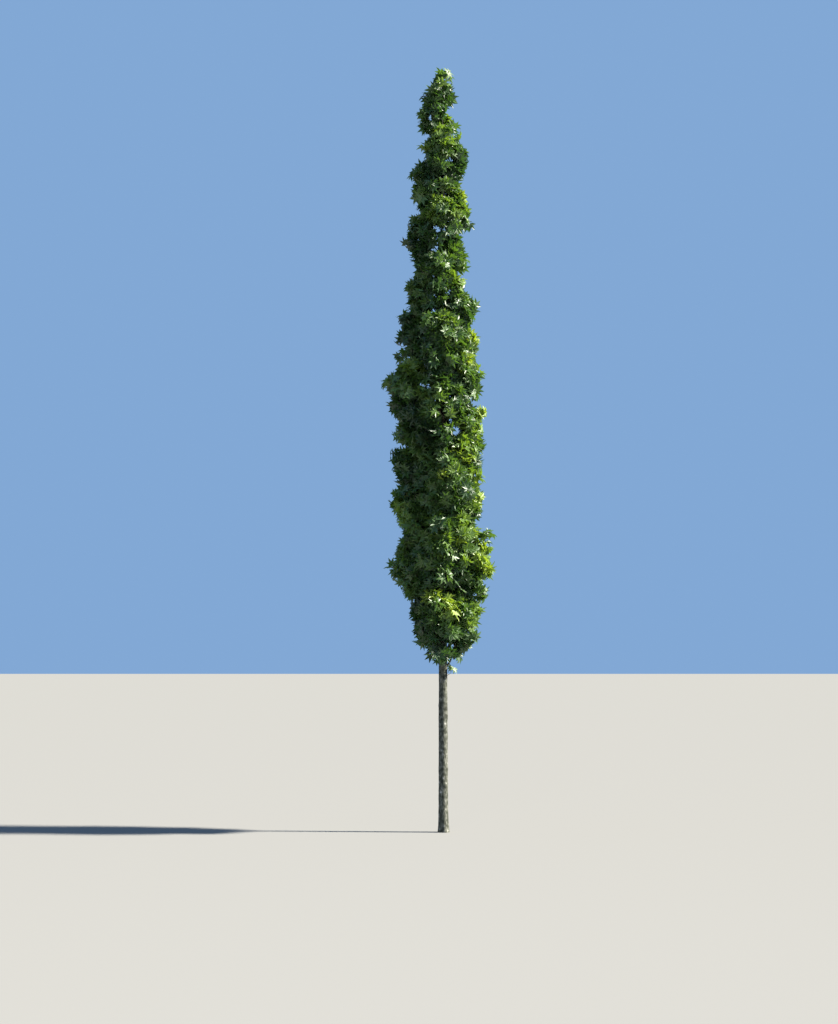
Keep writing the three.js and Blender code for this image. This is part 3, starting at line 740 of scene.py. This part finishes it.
def starting_places(mass):
    """Places on the stem and the bough where shoots can start, and the radius there."""
    shares = (np.arange(STEM_PLACES) + 1) / STEM_PLACES
    places = limb_points(mass.stem, shares)
    radii = limb_radii(mass.stem, shares)
    if mass.bough:
        shares = np.linspace(BOUGH_BARE_SHARE, 1, BOUGH_PLACES)
        places = np.concatenate((places, limb_points(mass.bough, shares)))
        radii = np.concatenate((radii, limb_radii(mass.bough, shares)))
    clear = trunk_room(places) > radii
    return places[clear], radii[clear]


def shoot_between(root, end, length, radius_under):
    """A shoot that sags on its way and is thinner than the limb under it."""
    bend = (root + end) / 2 - UP * (SHOOT_SAG * length)
    radius = np.clip(radius_under * SHOOT_ROOT_SHARE, SHOOT_RADIUS_LEAST, SHOOT_RADIUS)
    return limb(root, bend, end, radius, SHOOT_TIP_RADIUS)


def grow_shoots(mass, random):
    """Each shoot starts at the free place on the stem, the bough or another shoot that is
    nearest to its end, with places below the end counted as nearer than those beside it."""
    places, radii = starting_places(mass)
    owners = np.full(len(places), -1)
    steps = (np.arange(SHOOT_PLACES) + 1) / (SHOOT_PLACES + 1)
    ends = shoot_ends(mass, random)
    nearest = np.linalg.norm(ends[:, None] - places[None], axis=-1).min(1)
    shoots = []
    for end in ends[np.argsort(nearest)]:
        offset = end - places
        apart = np.linalg.norm(offset, axis=-1)
        rise = offset[:, 2] / apart
        cost = apart * (STEEPNESS - rise)
        cost[(apart < SHOOT_LEAST) | (apart > SHOOT_MOST) | (rise < SHOOT_FALL)] = np.inf
        best = cost.argmin()
        if not np.isfinite(cost[best]):
            continue
        shoot = shoot_between(places[best], end, apart[best], radii[best])
        shoot.parent = owners[best]
        free = np.arange(len(places)) != best
        places = np.concatenate((places[free], limb_points(shoot, steps)))
        radii = np.concatenate((radii[free], limb_radii(shoot, steps)))
        owners = np.concatenate((owners[free], np.full(SHOOT_PLACES, len(shoots))))
        shoots.append(shoot)
    return shoots


def needed_shoots(shoots, leaves):
    """The shoots that carry leaves, and those that carry such shoots."""
    needed = np.zeros(len(shoots), bool)
    needed[leaves.shoots] = True
    for index in reversed(range(len(shoots))):
        if needed[index] and shoots[index].parent >= 0:
            needed[shoots[index].parent] = True
    return [shoot for shoot, keep in zip(shoots, needed) if keep]


def sprig_shoot():
    """A short shoot of its own on the bare trunk, just under the lowest boughs."""
    root = trunk_middle(SPRIG_HEIGHT)
    tip = np.array(SPRIG_TIP)
    bend = np.array((tip[0], tip[1], root[2]))
    return limb(root, bend, tip, SHOOT_RADIUS, SHOOT_TIP_RADIUS)


def gathered(branches):
    """Many limbs as one limb whose points are arrays."""
    return limb(
        *(np.array([getattr(branch, name) for branch in branches])[:, None]
          for name in ("root", "bend", "tip", "root_radius", "tip_radius"))
    )


# Leaves

def square_to(along):
    """Two directions square to each other and to the one given."""
    level = np.abs(along[..., 2:]) < NEARLY_UPRIGHT
    side = unit(np.cross(along, np.where(level, UP, np.array((1.0, 0.0, 0.0)))))
    return side, np.cross(along, side)


def wander(random, shape):
    """Even random numbers from -0.5 to 0.5."""
    return random.uniform(-0.5, 0.5, shape)


def grow_leaves(mass, shoots, random):
    """Leaves stand round each shoot in a spiral, on stalks, turned to the light."""
    branch = gathered(shoots)
    count = len(shoots)
    steps = (np.arange(LEAVES_ON_SHOOT) + 1) / LEAVES_ON_SHOOT
    shares = np.tile(FIRST_LEAF + (1 - FIRST_LEAF) * steps, (count, 1))
    roots = limb_points(branch, shares)
    along = limb_along(branch, shares)
    side, across = square_to(along)
    turn = random.uniform(0, 2 * math.pi, (count, 1)) + np.arange(LEAVES_ON_SHOOT) * GOLDEN_TURN
    radial = side * np.cos(turn)[..., None] + across * np.sin(turn)[..., None]
    stalk = unit(radial * STALK_SPREAD + along * STALK_FORWARD + UP * STALK_RISE)
    sizes = random.uniform(*LEAF_SIZES, (count, LEAVES_ON_SHOOT))
    sizes = sizes * (1 - (1 - YOUNG_LEAF) * steps**YOUNG_LEAF_POWER)
    lengths = (STALK_LENGTH * sizes * random.uniform(*STALK_SIZES, sizes.shape))[..., None]
    middles = roots + stalk * lengths - UP * (STALK_SAG * lengths)
    outward = unit(middles - mass.middle)
    facing = along * LEAF_ALONG + outward * LEAF_OUT + UP * LEAF_LIFT
    facing = unit(facing + wander(random, roots.shape) * LEAF_WANDER)
    tips = stalk + outward * TIP_OUT - UP * TIP_FALL
    tips = tips + wander(random, roots.shape) * LEAF_WANDER
    tips = unit(tips - facing * (tips * facing).sum(-1, keepdims=True))
    shoot_index = np.repeat(np.arange(count), LEAVES_ON_SHOOT)
    return SimpleNamespace(
        roots=roots.reshape(-1, 3),
        middles=middles.reshape(-1, 3),
        facing=facing.reshape(-1, 3),
        tips=tips.reshape(-1, 3),
        lengths=(LEAF_LENGTH * sizes).reshape(-1),
        shoots=shoot_index,
        colours=shoot_colours(mass, shoots, random)[shoot_index],
        droops=random.uniform(*LEAF_DROOPS, count * LEAVES_ON_SHOOT),
        folds=random.uniform(*LEAF_FOLDS, count * LEAVES_ON_SHOOT),
    )


def shoot_colours(mass, shoots, random):
    """Shoots high and far out in a mass get fresher greens, partly new growth and partly painted
    sunlight, with painted shade inside; the sunny side gets lighter greens as painted sunlight.
    """
    ends = np.array([shoot.tip for shoot in shoots])
    height = (ends[:, 2] - mass.middle[2]) / (mass.radius * EGG_STRETCH)
    depth = (ends - mass.middle) @ mass.out / mass.radius
    # Painted sunlight: the sunny side, on the right, gets lighter greens
    sunny = np.clip(ends[:, 0] / SHOOT_FULL_RADIUS, -1, 1)
    # Partly new growth, partly painted sunlight on the tops and outsides of the mass and painted
    # shade inside it
    fresh = FRESH_AND_LIT_BY_HEIGHT * (height + 1) / 2 + FRESH_AND_LIT_BY_DEPTH * (depth + 1) / 2
    fresh += PAINTED_SUNLIGHT_BY_SIDE * (sunny + 1) / 2 + FRESHNESS_BY_PATCH * unevenness(ends, PATCH_SIZE)
    fresh += random.uniform(0, FRESHNESS_WANDER, len(shoots)) - FRESHNESS_FALL * ends[:, 2]
    return np.searchsorted(FRESH_AND_LIT_STEPS, fresh)


def kept_leaves(leaves, keep):
    """The leaves that a mask, an index or a slice picks out."""
    return SimpleNamespace(**{name: values[keep] for name, values in vars(leaves).items()})


def settle_leaves(mass, leaves):
    """Drops leaves whose tips are outside the egg or the column, by a limit that is ragged,
    and those that stand outside the walls, touch the trunk or would close a gap."""
    ends = leaves.middles + leaves.tips * leaves.lengths[:, None]
    ragged = RAGGEDNESS * (unevenness(leaves.middles, RAGGED_SIZE) - 0.5)
    inside = skin_room(mass, ends)[0] > LEAF_ROOM + ragged
    inside &= column_room(ends) > LEAF_COLUMN_ROOM + ragged
    inside &= wall_room(mass, leaves.middles)[0] > LEAF_WALL_ROOM
    clear = trunk_room(leaves.middles) > TRUNK_CLEARANCE
    return kept_leaves(leaves, inside & clear & ~covers_gap(leaves))


def sky_specks():
    """Across, height and radius of the scattered specks of sky."""
    random = np.random.default_rng(SPECK_SEED)
    heights = random.uniform(*SPECK_HEIGHTS, SKY_SPECKS)
    left, right = outline_reaches(heights)
    sides = random.uniform(-SPECK_REACH, SPECK_REACH, SKY_SPECKS)
    across = np.where(sides < 0, left, right) * sides
    return tuple(zip(across, heights, random.uniform(*SPECK_RADII, SKY_SPECKS)))


def covers_gap(leaves):
    """True for leaves whose blade would close a gap, or hide the trunk where it shows."""
    blades = leaves.middles + leaves.tips * (leaves.lengths * GAP_LEAF_SHARE)[:, None]
    covers = np.zeros(len(blades), bool)
    for across, height, radius in SKY_GAPS + NOTCHES + TRUNK_SHOWS + sky_specks():
        sight = unit(np.array((across, 0.0, height)) - np.array(CAMERA))
        offset = blades - np.array(CAMERA)
        apart = np.linalg.norm(offset - (offset @ sight)[:, None] * sight, axis=-1)
        within = apart < radius + leaves.lengths * GAP_LEAF_SHARE
        if (across, height, radius) in TRUNK_SHOWS:
            within &= blades[:, 1] < 0
        covers |= within
    return covers


def split_leaves(leaves, most):
    """The same leaves in as few lots as hold no more than so many each."""
    count = len(leaves.lengths)
    for lot in np.array_split(np.arange(count), math.ceil(count / most)):
        yield kept_leaves(leaves, lot)


def joined_leaves(all_leaves):
    """The leaves of many masses as one lot."""
    names = vars(all_leaves[0])
    return SimpleNamespace(**{
        name: np.concatenate([getattr(leaves, name) for leaves in all_leaves]) for name in names
    })


# Meshes

def make_piece(name, points, faces, smooth, material):
    """One mesh object from arrays of points and of faces with equally many corners."""
    mesh = bpy.data.meshes.new(name)
    mesh.vertices.add(len(points))
    mesh.vertices.foreach_set("co", np.asarray(points, np.float32).ravel())
    corners = faces.shape[1]
    mesh.loops.add(faces.size)
    mesh.loops.foreach_set("vertex_index", faces.astype(np.int32).ravel())
    mesh.polygons.add(len(faces))
    mesh.polygons.foreach_set("loop_start", np.arange(0, faces.size, corners, dtype=np.int32))
    mesh.polygons.foreach_set("use_smooth", np.full(len(faces), smooth))
    mesh.update(calc_edges=True)
    mesh.validate()
    mesh.materials.append(material)
    piece = bpy.data.objects.new(name, mesh)
    bpy.context.scene.collection.objects.link(piece)
    return piece


def tube_points(points, along, radii, sides):
    """Rings of points round many curves: arrays of curve, ring, side and coordinate."""
    reference, _ = square_to(along.mean(1, keepdims=True))
    side = reference - along * (reference * along).sum(-1, keepdims=True)
    side = unit(side)
    across = np.cross(along, side)
    turn = 2 * math.pi * np.arange(sides) / sides
    ring = side[:, :, None] * np.cos(turn)[:, None] + across[:, :, None] * np.sin(turn)[:, None]
    return points[:, :, None] + ring * radii[:, :, None, None]


def tube_faces(tubes, rings, sides):
    """Four-cornered faces between the rings of many tubes."""
    tube, ring, side = np.meshgrid(
        np.arange(tubes), np.arange(rings - 1), np.arange(sides), indexing="ij"
    )
    low = (tube * rings + ring) * sides
    high = low + sides
    following = (side + 1) % sides
    faces = np.stack((low + side, low + following, high + following, high + side), -1)
    return faces.reshape(-1, 4)


def limb_tubes(branches, rings, sides):
    """Points and faces of tubes along limbs, with open ends."""
    branch = gathered(branches)
    shares = np.tile(np.linspace(0, 1, rings), (len(branches), 1))
    points = limb_points(branch, shares)
    tubes = tube_points(points, limb_along(branch, shares), limb_radii(branch, shares), sides)
    return tubes.reshape(-1, 3), tube_faces(len(branches), rings, sides)


def leaf_mesh(leaves):
    """Points and faces of all leaves: a fan of faces from each stalk's end to the outline."""
    half = np.array(LEAF_OUTLINE)
    mirrored = half[:0:-1] * np.array((-1, 1, 1))
    outline = np.concatenate((mirrored, half))
    turn = np.radians(outline[:, 0])
    reach = outline[:, 1]
    forward = np.cos(turn) * reach
    sideways = np.sin(turn) * reach
    across = np.cross(leaves.tips, leaves.facing)
    raised = outline[:, 2] + leaves.folds[:, None] * np.abs(sideways)
    raised = raised - leaves.droops[:, None] * reach**2
    shape = (
        leaves.tips[:, None] * forward[:, None]
        + across[:, None] * sideways[:, None]
        + leaves.facing[:, None] * raised[..., None]
    )
    rim = leaves.middles[:, None] + shape * leaves.lengths[:, None, None]
    points = np.concatenate((leaves.middles[:, None], rim), axis=1)
    count = len(outline)
    corner = np.arange(count - 1)
    fan = np.stack((np.zeros(count - 1, int), corner + 2, corner + 1), -1)
    faces = fan[None] + (np.arange(len(points)) * (count + 1))[:, None, None]
    return points.reshape(-1, 3), faces.reshape(-1, 3)


def stalk_mesh(leaves):
    """Points and faces of the stalks, which run from the shoots to the leaves."""
    count = len(leaves.roots)
    middle = (leaves.roots + leaves.middles) / 2 + UP * (STALK_SAG * STALK_LENGTH / 2)
    ends = (leaves.roots, middle, leaves.middles)
    stalks = limb(*(points[:, None] for points in ends), STALK_RADIUS, STALK_RADIUS)
    shares = np.tile(np.array((0.0, 1.0)), (count, 1))
    tubes = tube_points(
        limb_points(stalks, shares), limb_along(stalks, shares), limb_radii(stalks, shares),
        STALK_SIDES,
    )
    return tubes.reshape(-1, 3), tube_faces(count, 2, STALK_SIDES)


# Trunk with its furrows, lumps and knots

def smoothed(share):
    """A share from 0 to 1 with an easy start and end."""
    return share**2 * (3 - 2 * share)


def smooth_noise(random, around, cell_height, turn, height):
    """Even noise from -1 to 1 that closes round the trunk: cells around it, and their height."""
    column = turn / (2 * math.pi) * around
    row = height / cell_height
    lattice = random.uniform(-1, 1, (int(row.max()) + SPARE_ROWS, around))
    low_column = np.floor(column).astype(int)
    low_row = np.floor(row).astype(int)
    column_share = smoothed(column - low_column)
    row_share = smoothed(row - low_row)
    left = low_column % around
    right = (low_column + 1) % around
    low, high = (
        lattice[level, left] * (1 - column_share) + lattice[level, right] * column_share
        for level in (low_row, low_row + 1)
    )
    return low * (1 - row_share) + high * row_share


def knot_relief(turn, height):
    """Each knot is a low swelling with a hollow in its middle."""
    relief = np.zeros(turn.shape)
    for middle, degrees, size, depth in KNOTS:
        swing = np.angle(np.exp(1j * (turn - math.radians(degrees))))
        apart = np.hypot(swing * trunk_radius(middle), height - middle) / size
        hollow = KNOT_HOLLOW * np.exp(-(apart**2) * KNOT_HOLLOW_FADE)
        relief += depth * (np.exp(-(apart**2) / 2) - hollow)
    return relief


def trunk_relief(turn, height):
    """How far the bark stands out of the trunk's even skin."""
    random = np.random.default_rng(SEED)
    lumps = smooth_noise(random, *LUMP_CELLS, turn, height)
    furrows = smooth_noise(random, *FURROW_CELLS, turn, height)
    plates = smooth_noise(random, *PLATE_CELLS, turn, height)
    ridged = 1 - 2 * np.abs(furrows)
    scale = np.clip(trunk_radius(height) / FOOT_RADIUS, RELIEF_LEAST, 1)
    fade = 1 - RELIEF_FADE * np.clip(height / TRUNK_LENGTH, 0, 1)
    fine = FURROW_DEPTH * (ridged * FURROW_SHARE + plates * PLATE_SHARE) * fade
    return (LUMP_DEPTH * lumps + fine) * scale + knot_relief(turn, height)


def make_trunk(material):
    """The trunk's bark, with closer rings on the bare trunk than among the leaves."""
    bare = np.arange(0, CLEAR_TRUNK, TRUNK_RING_STEP)
    leafy = np.linspace(CLEAR_TRUNK, TRUNK_LENGTH, LEAFY_TRUNK_RINGS)
    heights = np.concatenate((bare, leafy))
    turns = 2 * math.pi * np.arange(TRUNK_SIDES) / TRUNK_SIDES
    height, turn = np.meshgrid(heights, turns, indexing="ij")
    radius = trunk_radius(height) + flare(height, turn) + trunk_relief(turn, height)
    offset = np.stack((np.cos(turn), np.sin(turn), np.zeros(turn.shape)), -1)
    points = trunk_middle(height) + offset * radius[..., None]
    faces = tube_faces(1, len(heights), TRUNK_SIDES)
    return make_piece("trunk_bark", points.reshape(-1, 3), faces, True, material)


# Boughs and twigs

def make_boughs(masses, material):
    boughs = [mass.bough for mass in masses if mass.bough]
    points, faces = limb_tubes(boughs, BOUGH_RINGS, BOUGH_SIDES)
    return make_piece("bough_bark", points, faces, True, material)


def make_twigs(masses, shoots, material):
    """The stems of the masses and all shoots."""
    stems, stem_faces = limb_tubes([mass.stem for mass in masses], STEM_RINGS, STEM_SIDES)
    twigs, twig_faces = limb_tubes(shoots, SHOOT_RINGS, SHOOT_SIDES)
    points = np.concatenate((stems, twigs))
    faces = np.concatenate((stem_faces, twig_faces + len(stems)))
    return make_piece("twigs", points, faces, True, material)


# Materials

def new_material(name):
    material = bpy.data.materials.new(name)
    material.use_nodes = True
    nodes = material.node_tree.nodes
    shader = nodes["Principled BSDF"]
    return material, nodes, material.node_tree.links, shader


def noise_node(nodes, links, scale, detail, stretch=(1, 1, 1)):
    """Noise in the object's own place, stretched along each axis."""
    place = nodes.new("ShaderNodeTexCoord")
    mapping = nodes.new("ShaderNodeMapping")
    mapping.inputs["Scale"].default_value = stretch
    noise = nodes.new("ShaderNodeTexNoise")
    noise.inputs["Scale"].default_value = scale
    noise.inputs["Detail"].default_value = detail
    links.new(place.outputs["Object"], mapping.inputs["Vector"])
    links.new(mapping.outputs["Vector"], noise.inputs["Vector"])
    return noise.outputs["Fac"]


def ramp_node(nodes, links, factor, stops):
    """Colours for the values of a pattern, from stops of value and colour."""
    ramp = nodes.new("ShaderNodeValToRGB")
    elements = ramp.color_ramp.elements
    while len(elements) < len(stops):
        elements.new(0.5)
    for element, (position, colour) in zip(elements, stops):
        element.position = position
        element.color = (*colour, 1)
    links.new(factor, ramp.inputs["Fac"])
    return ramp.outputs["Color"]


def add_bump(nodes, links, shader, height, strength, distance):
    bump = nodes.new("ShaderNodeBump")
    bump.inputs["Strength"].default_value = strength
    bump.inputs["Distance"].default_value = distance
    links.new(height, bump.inputs["Height"])
    links.new(bump.outputs["Normal"], shader.inputs["Normal"])


def bark_material():
    """Mottled grey bark with pale patches, and painted shade that darkens its furrows."""
    material, nodes, links, shader = new_material("sweetgum_bark")
    patches = noise_node(nodes, links, *BARK_PATCHES)
    colour = ramp_node(nodes, links, patches, BARK_COLOURS)
    furrows = noise_node(nodes, links, *BARK_FURROWS)
    # Painted shade in the furrows, from the same pattern as the relief
    dark = ramp_node(nodes, links, furrows, PAINTED_FURROW_SHADE)
    mix = nodes.new("ShaderNodeMix")
    mix.data_type = "RGBA"
    mix.blend_type = "MULTIPLY"
    mix.inputs["Factor"].default_value = 1.0
    links.new(colour, mix.inputs["A"])
    links.new(dark, mix.inputs["B"])
    links.new(mix.outputs["Result"], shader.inputs["Base Color"])
    shader.inputs["Roughness"].default_value = BARK_ROUGHNESS
    shader.inputs["Specular IOR Level"].default_value = BARK_SPECULAR
    add_bump(nodes, links, shader, furrows, *BARK_BUMP)
    return material


def twig_material():
    """Young brown-grey twigs."""
    material, nodes, links, shader = new_material("sweetgum_twig")
    streaks = noise_node(nodes, links, *TWIG_STREAKS)
    links.new(ramp_node(nodes, links, streaks, TWIG_COLOURS), shader.inputs["Base Color"])
    shader.inputs["Roughness"].default_value = TWIG_ROUGHNESS
    add_bump(nodes, links, shader, streaks, *TWIG_BUMP)
    return material


def leaf_material(name, colour):
    """One leaf green, a little uneven, with a slight gloss and light coming through; its lightness
    is partly painted sunlight and shade.
    """
    material, nodes, links, shader = new_material(name)
    mottling = noise_node(nodes, links, *LEAF_MOTTLING)
    stops = [(place, tuple(c * share for c in colour)) for place, share in LEAF_SHADES]
    links.new(ramp_node(nodes, links, mottling, stops), shader.inputs["Base Color"])
    shader.inputs["Roughness"].default_value = LEAF_ROUGHNESS
    shader.inputs["Specular IOR Level"].default_value = LEAF_SPECULAR
    add_bump(nodes, links, shader, mottling, *LEAF_BUMP)
    through = nodes.new("ShaderNodeBsdfTranslucent")
    tinted = (c * tint for c, tint in zip(colour, TINT_THROUGH_LEAF))
    through.inputs["Color"].default_value = (*tinted, 1)
    mix = nodes.new("ShaderNodeMixShader")
    mix.inputs["Fac"].default_value = LIGHT_THROUGH_LEAF
    links.new(shader.outputs["BSDF"], mix.inputs[1])
    links.new(through.outputs["BSDF"], mix.inputs[2])
    links.new(mix.outputs["Shader"], nodes["Material Output"].inputs["Surface"])
    return material


# Floor, lights and camera

def make_stage():
    """A plain pale floor without gloss."""
    mesh = bpy.data.meshes.new("floor")
    sides = ((-1, -1), (1, -1), (1, 1), (-1, 1))
    corners = [(x * FLOOR_REACH, y * FLOOR_REACH, 0) for x, y in sides]
    mesh.from_pydata(corners, [], [(0, 1, 2, 3)])
    floor = bpy.data.objects.new("floor", mesh)
    bpy.context.scene.collection.objects.link(floor)
    material, _, _, shader = new_material("pale_floor")
    shader.inputs["Base Color"].default_value = (*FLOOR_COLOUR, 1)
    shader.inputs["Roughness"].default_value = 1.0
    shader.inputs["Specular IOR Level"].default_value = 0.0
    mesh.materials.append(material)
    floor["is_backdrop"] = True


def aim(thing, target):
    """Turns a light so that it points at a target."""
    direction = np.array(target) - np.array(thing.location)
    flat = math.hypot(direction[0], direction[1])
    thing.rotation_euler = (
        math.pi / 2 + math.atan2(direction[2], flat),
        0,
        math.atan2(-direction[0], direction[1]),
    )


def add_light(name, kind, place, power, colour):
    """A light that points at the middle of the tree."""
    data = bpy.data.lights.new(name, kind)
    data.energy = power
    data.color = colour
    light = bpy.data.objects.new(name, data)
    bpy.context.scene.collection.objects.link(light)
    light.location = place
    aim(light, LIT_POINT)
    return data


def make_lights():
    """The sun, the soft light from the front and the sky."""
    sun = add_light("key", "SUN", SUN_PLACE, SUN_POWER, SUN_COLOUR)
    sun.angle = math.radians(SUN_WIDTH)
    fill = add_light("fill", "AREA", FILL_PLACE, FILL_POWER, FILL_COLOUR)
    fill.shape = "DISK"
    fill.size = FILL_SIZE
    world = bpy.data.worlds.new("pale_sky")
    world.use_nodes = True
    background = world.node_tree.nodes["Background"]
    background.inputs["Color"].default_value = (*SKY_COLOUR, 1)
    background.inputs["Strength"].default_value = SKY_STRENGTH
    bpy.context.scene.world = world


def set_tones():
    """Plain tones keep the greens as they are."""
    bpy.context.scene.view_settings.view_transform = "Standard"
    bpy.context.scene.view_settings.look = "None"


def make_camera():
    data = bpy.data.cameras.new("camera")
    data.sensor_width = SENSOR
    data.lens = FOCAL_PIXELS * SENSOR / max(IMAGE_WIDTH, IMAGE_HEIGHT)
    data.clip_end = SIGHT_LENGTH
    camera = bpy.data.objects.new("camera", data)
    bpy.context.scene.collection.objects.link(camera)
    camera.location = CAMERA
    camera.rotation_euler = (math.radians(90 + CAMERA_PITCH), 0, 0)
    bpy.context.scene.camera = camera


# The whole tree

def grow_tree():
    """The masses with their limbs, all shoots that carry leaves, and all leaves."""
    masses = describe_masses()
    give_walls(masses)
    all_shoots = []
    all_leaves = []
    for index, mass in enumerate(masses):
        give_bough_and_stem(mass)
        random = np.random.default_rng(SEED + 1 + index)
        shoots = grow_shoots(mass, random)
        leaves = settle_leaves(mass, grow_leaves(mass, shoots, random))
        all_shoots.extend(needed_shoots(shoots, leaves))
        all_leaves.append(leaves)
    sprig = sprig_shoot()
    all_shoots.append(sprig)
    leaves = grow_leaves(masses[0], [sprig], np.random.default_rng(SEED))
    all_leaves.append(kept_leaves(leaves, slice(-SPRIG_LEAVES, None)))
    return masses, all_shoots, joined_leaves(all_leaves)


def dress(piece, nodes):
    """The piece belongs to the tree's one body and stands for some of its solids."""
    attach(piece, "root")
    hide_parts(*nodes)


def dress_wood(masses, shoots, foliage):
    """Trunk, boughs and twigs."""
    boughs = [f"bough_{mass.name}" for mass in masses if mass.bough]
    bark = bark_material()
    twig = twig_material()
    dress(make_trunk(bark), ["trunk"])
    dress(make_boughs(masses, bark), boughs)
    dress(make_twigs(masses, shoots, twig), foliage)


def dress_stalks(leaves, foliage):
    material = leaf_material("sweetgum_stalk", STALK_COLOUR)
    for number, part in enumerate(split_leaves(leaves, STALKS_IN_PIECE), start=1):
        piece = make_piece(f"leaf_stalks_{number}", *stalk_mesh(part), True, material)
        dress(piece, foliage)


def dress_leaves(leaves, foliage):
    """Leaves of each colour."""
    for index, (name, colour) in enumerate(LEAF_COLOURS):
        material = leaf_material(f"sweetgum_leaf_{name}", colour)
        one_colour = kept_leaves(leaves, leaves.colours == index)
        for number, part in enumerate(split_leaves(one_colour, LEAVES_IN_PIECE), start=1):
            piece = make_piece(f"leaves_{name}_{number}", *leaf_mesh(part), False, material)
            dress(piece, foliage)


def make_tree():
    masses, shoots, leaves = grow_tree()
    foliage = [f"foliage_{mass.name}" for mass in masses]
    dress_wood(masses, shoots, foliage)
    dress_stalks(leaves, foliage)
    dress_leaves(leaves, foliage)


make_tree()
make_stage()
make_lights()
make_camera()
set_tones()
boxes = [[list(corner) for corner in box] for box in (cad_box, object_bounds())]
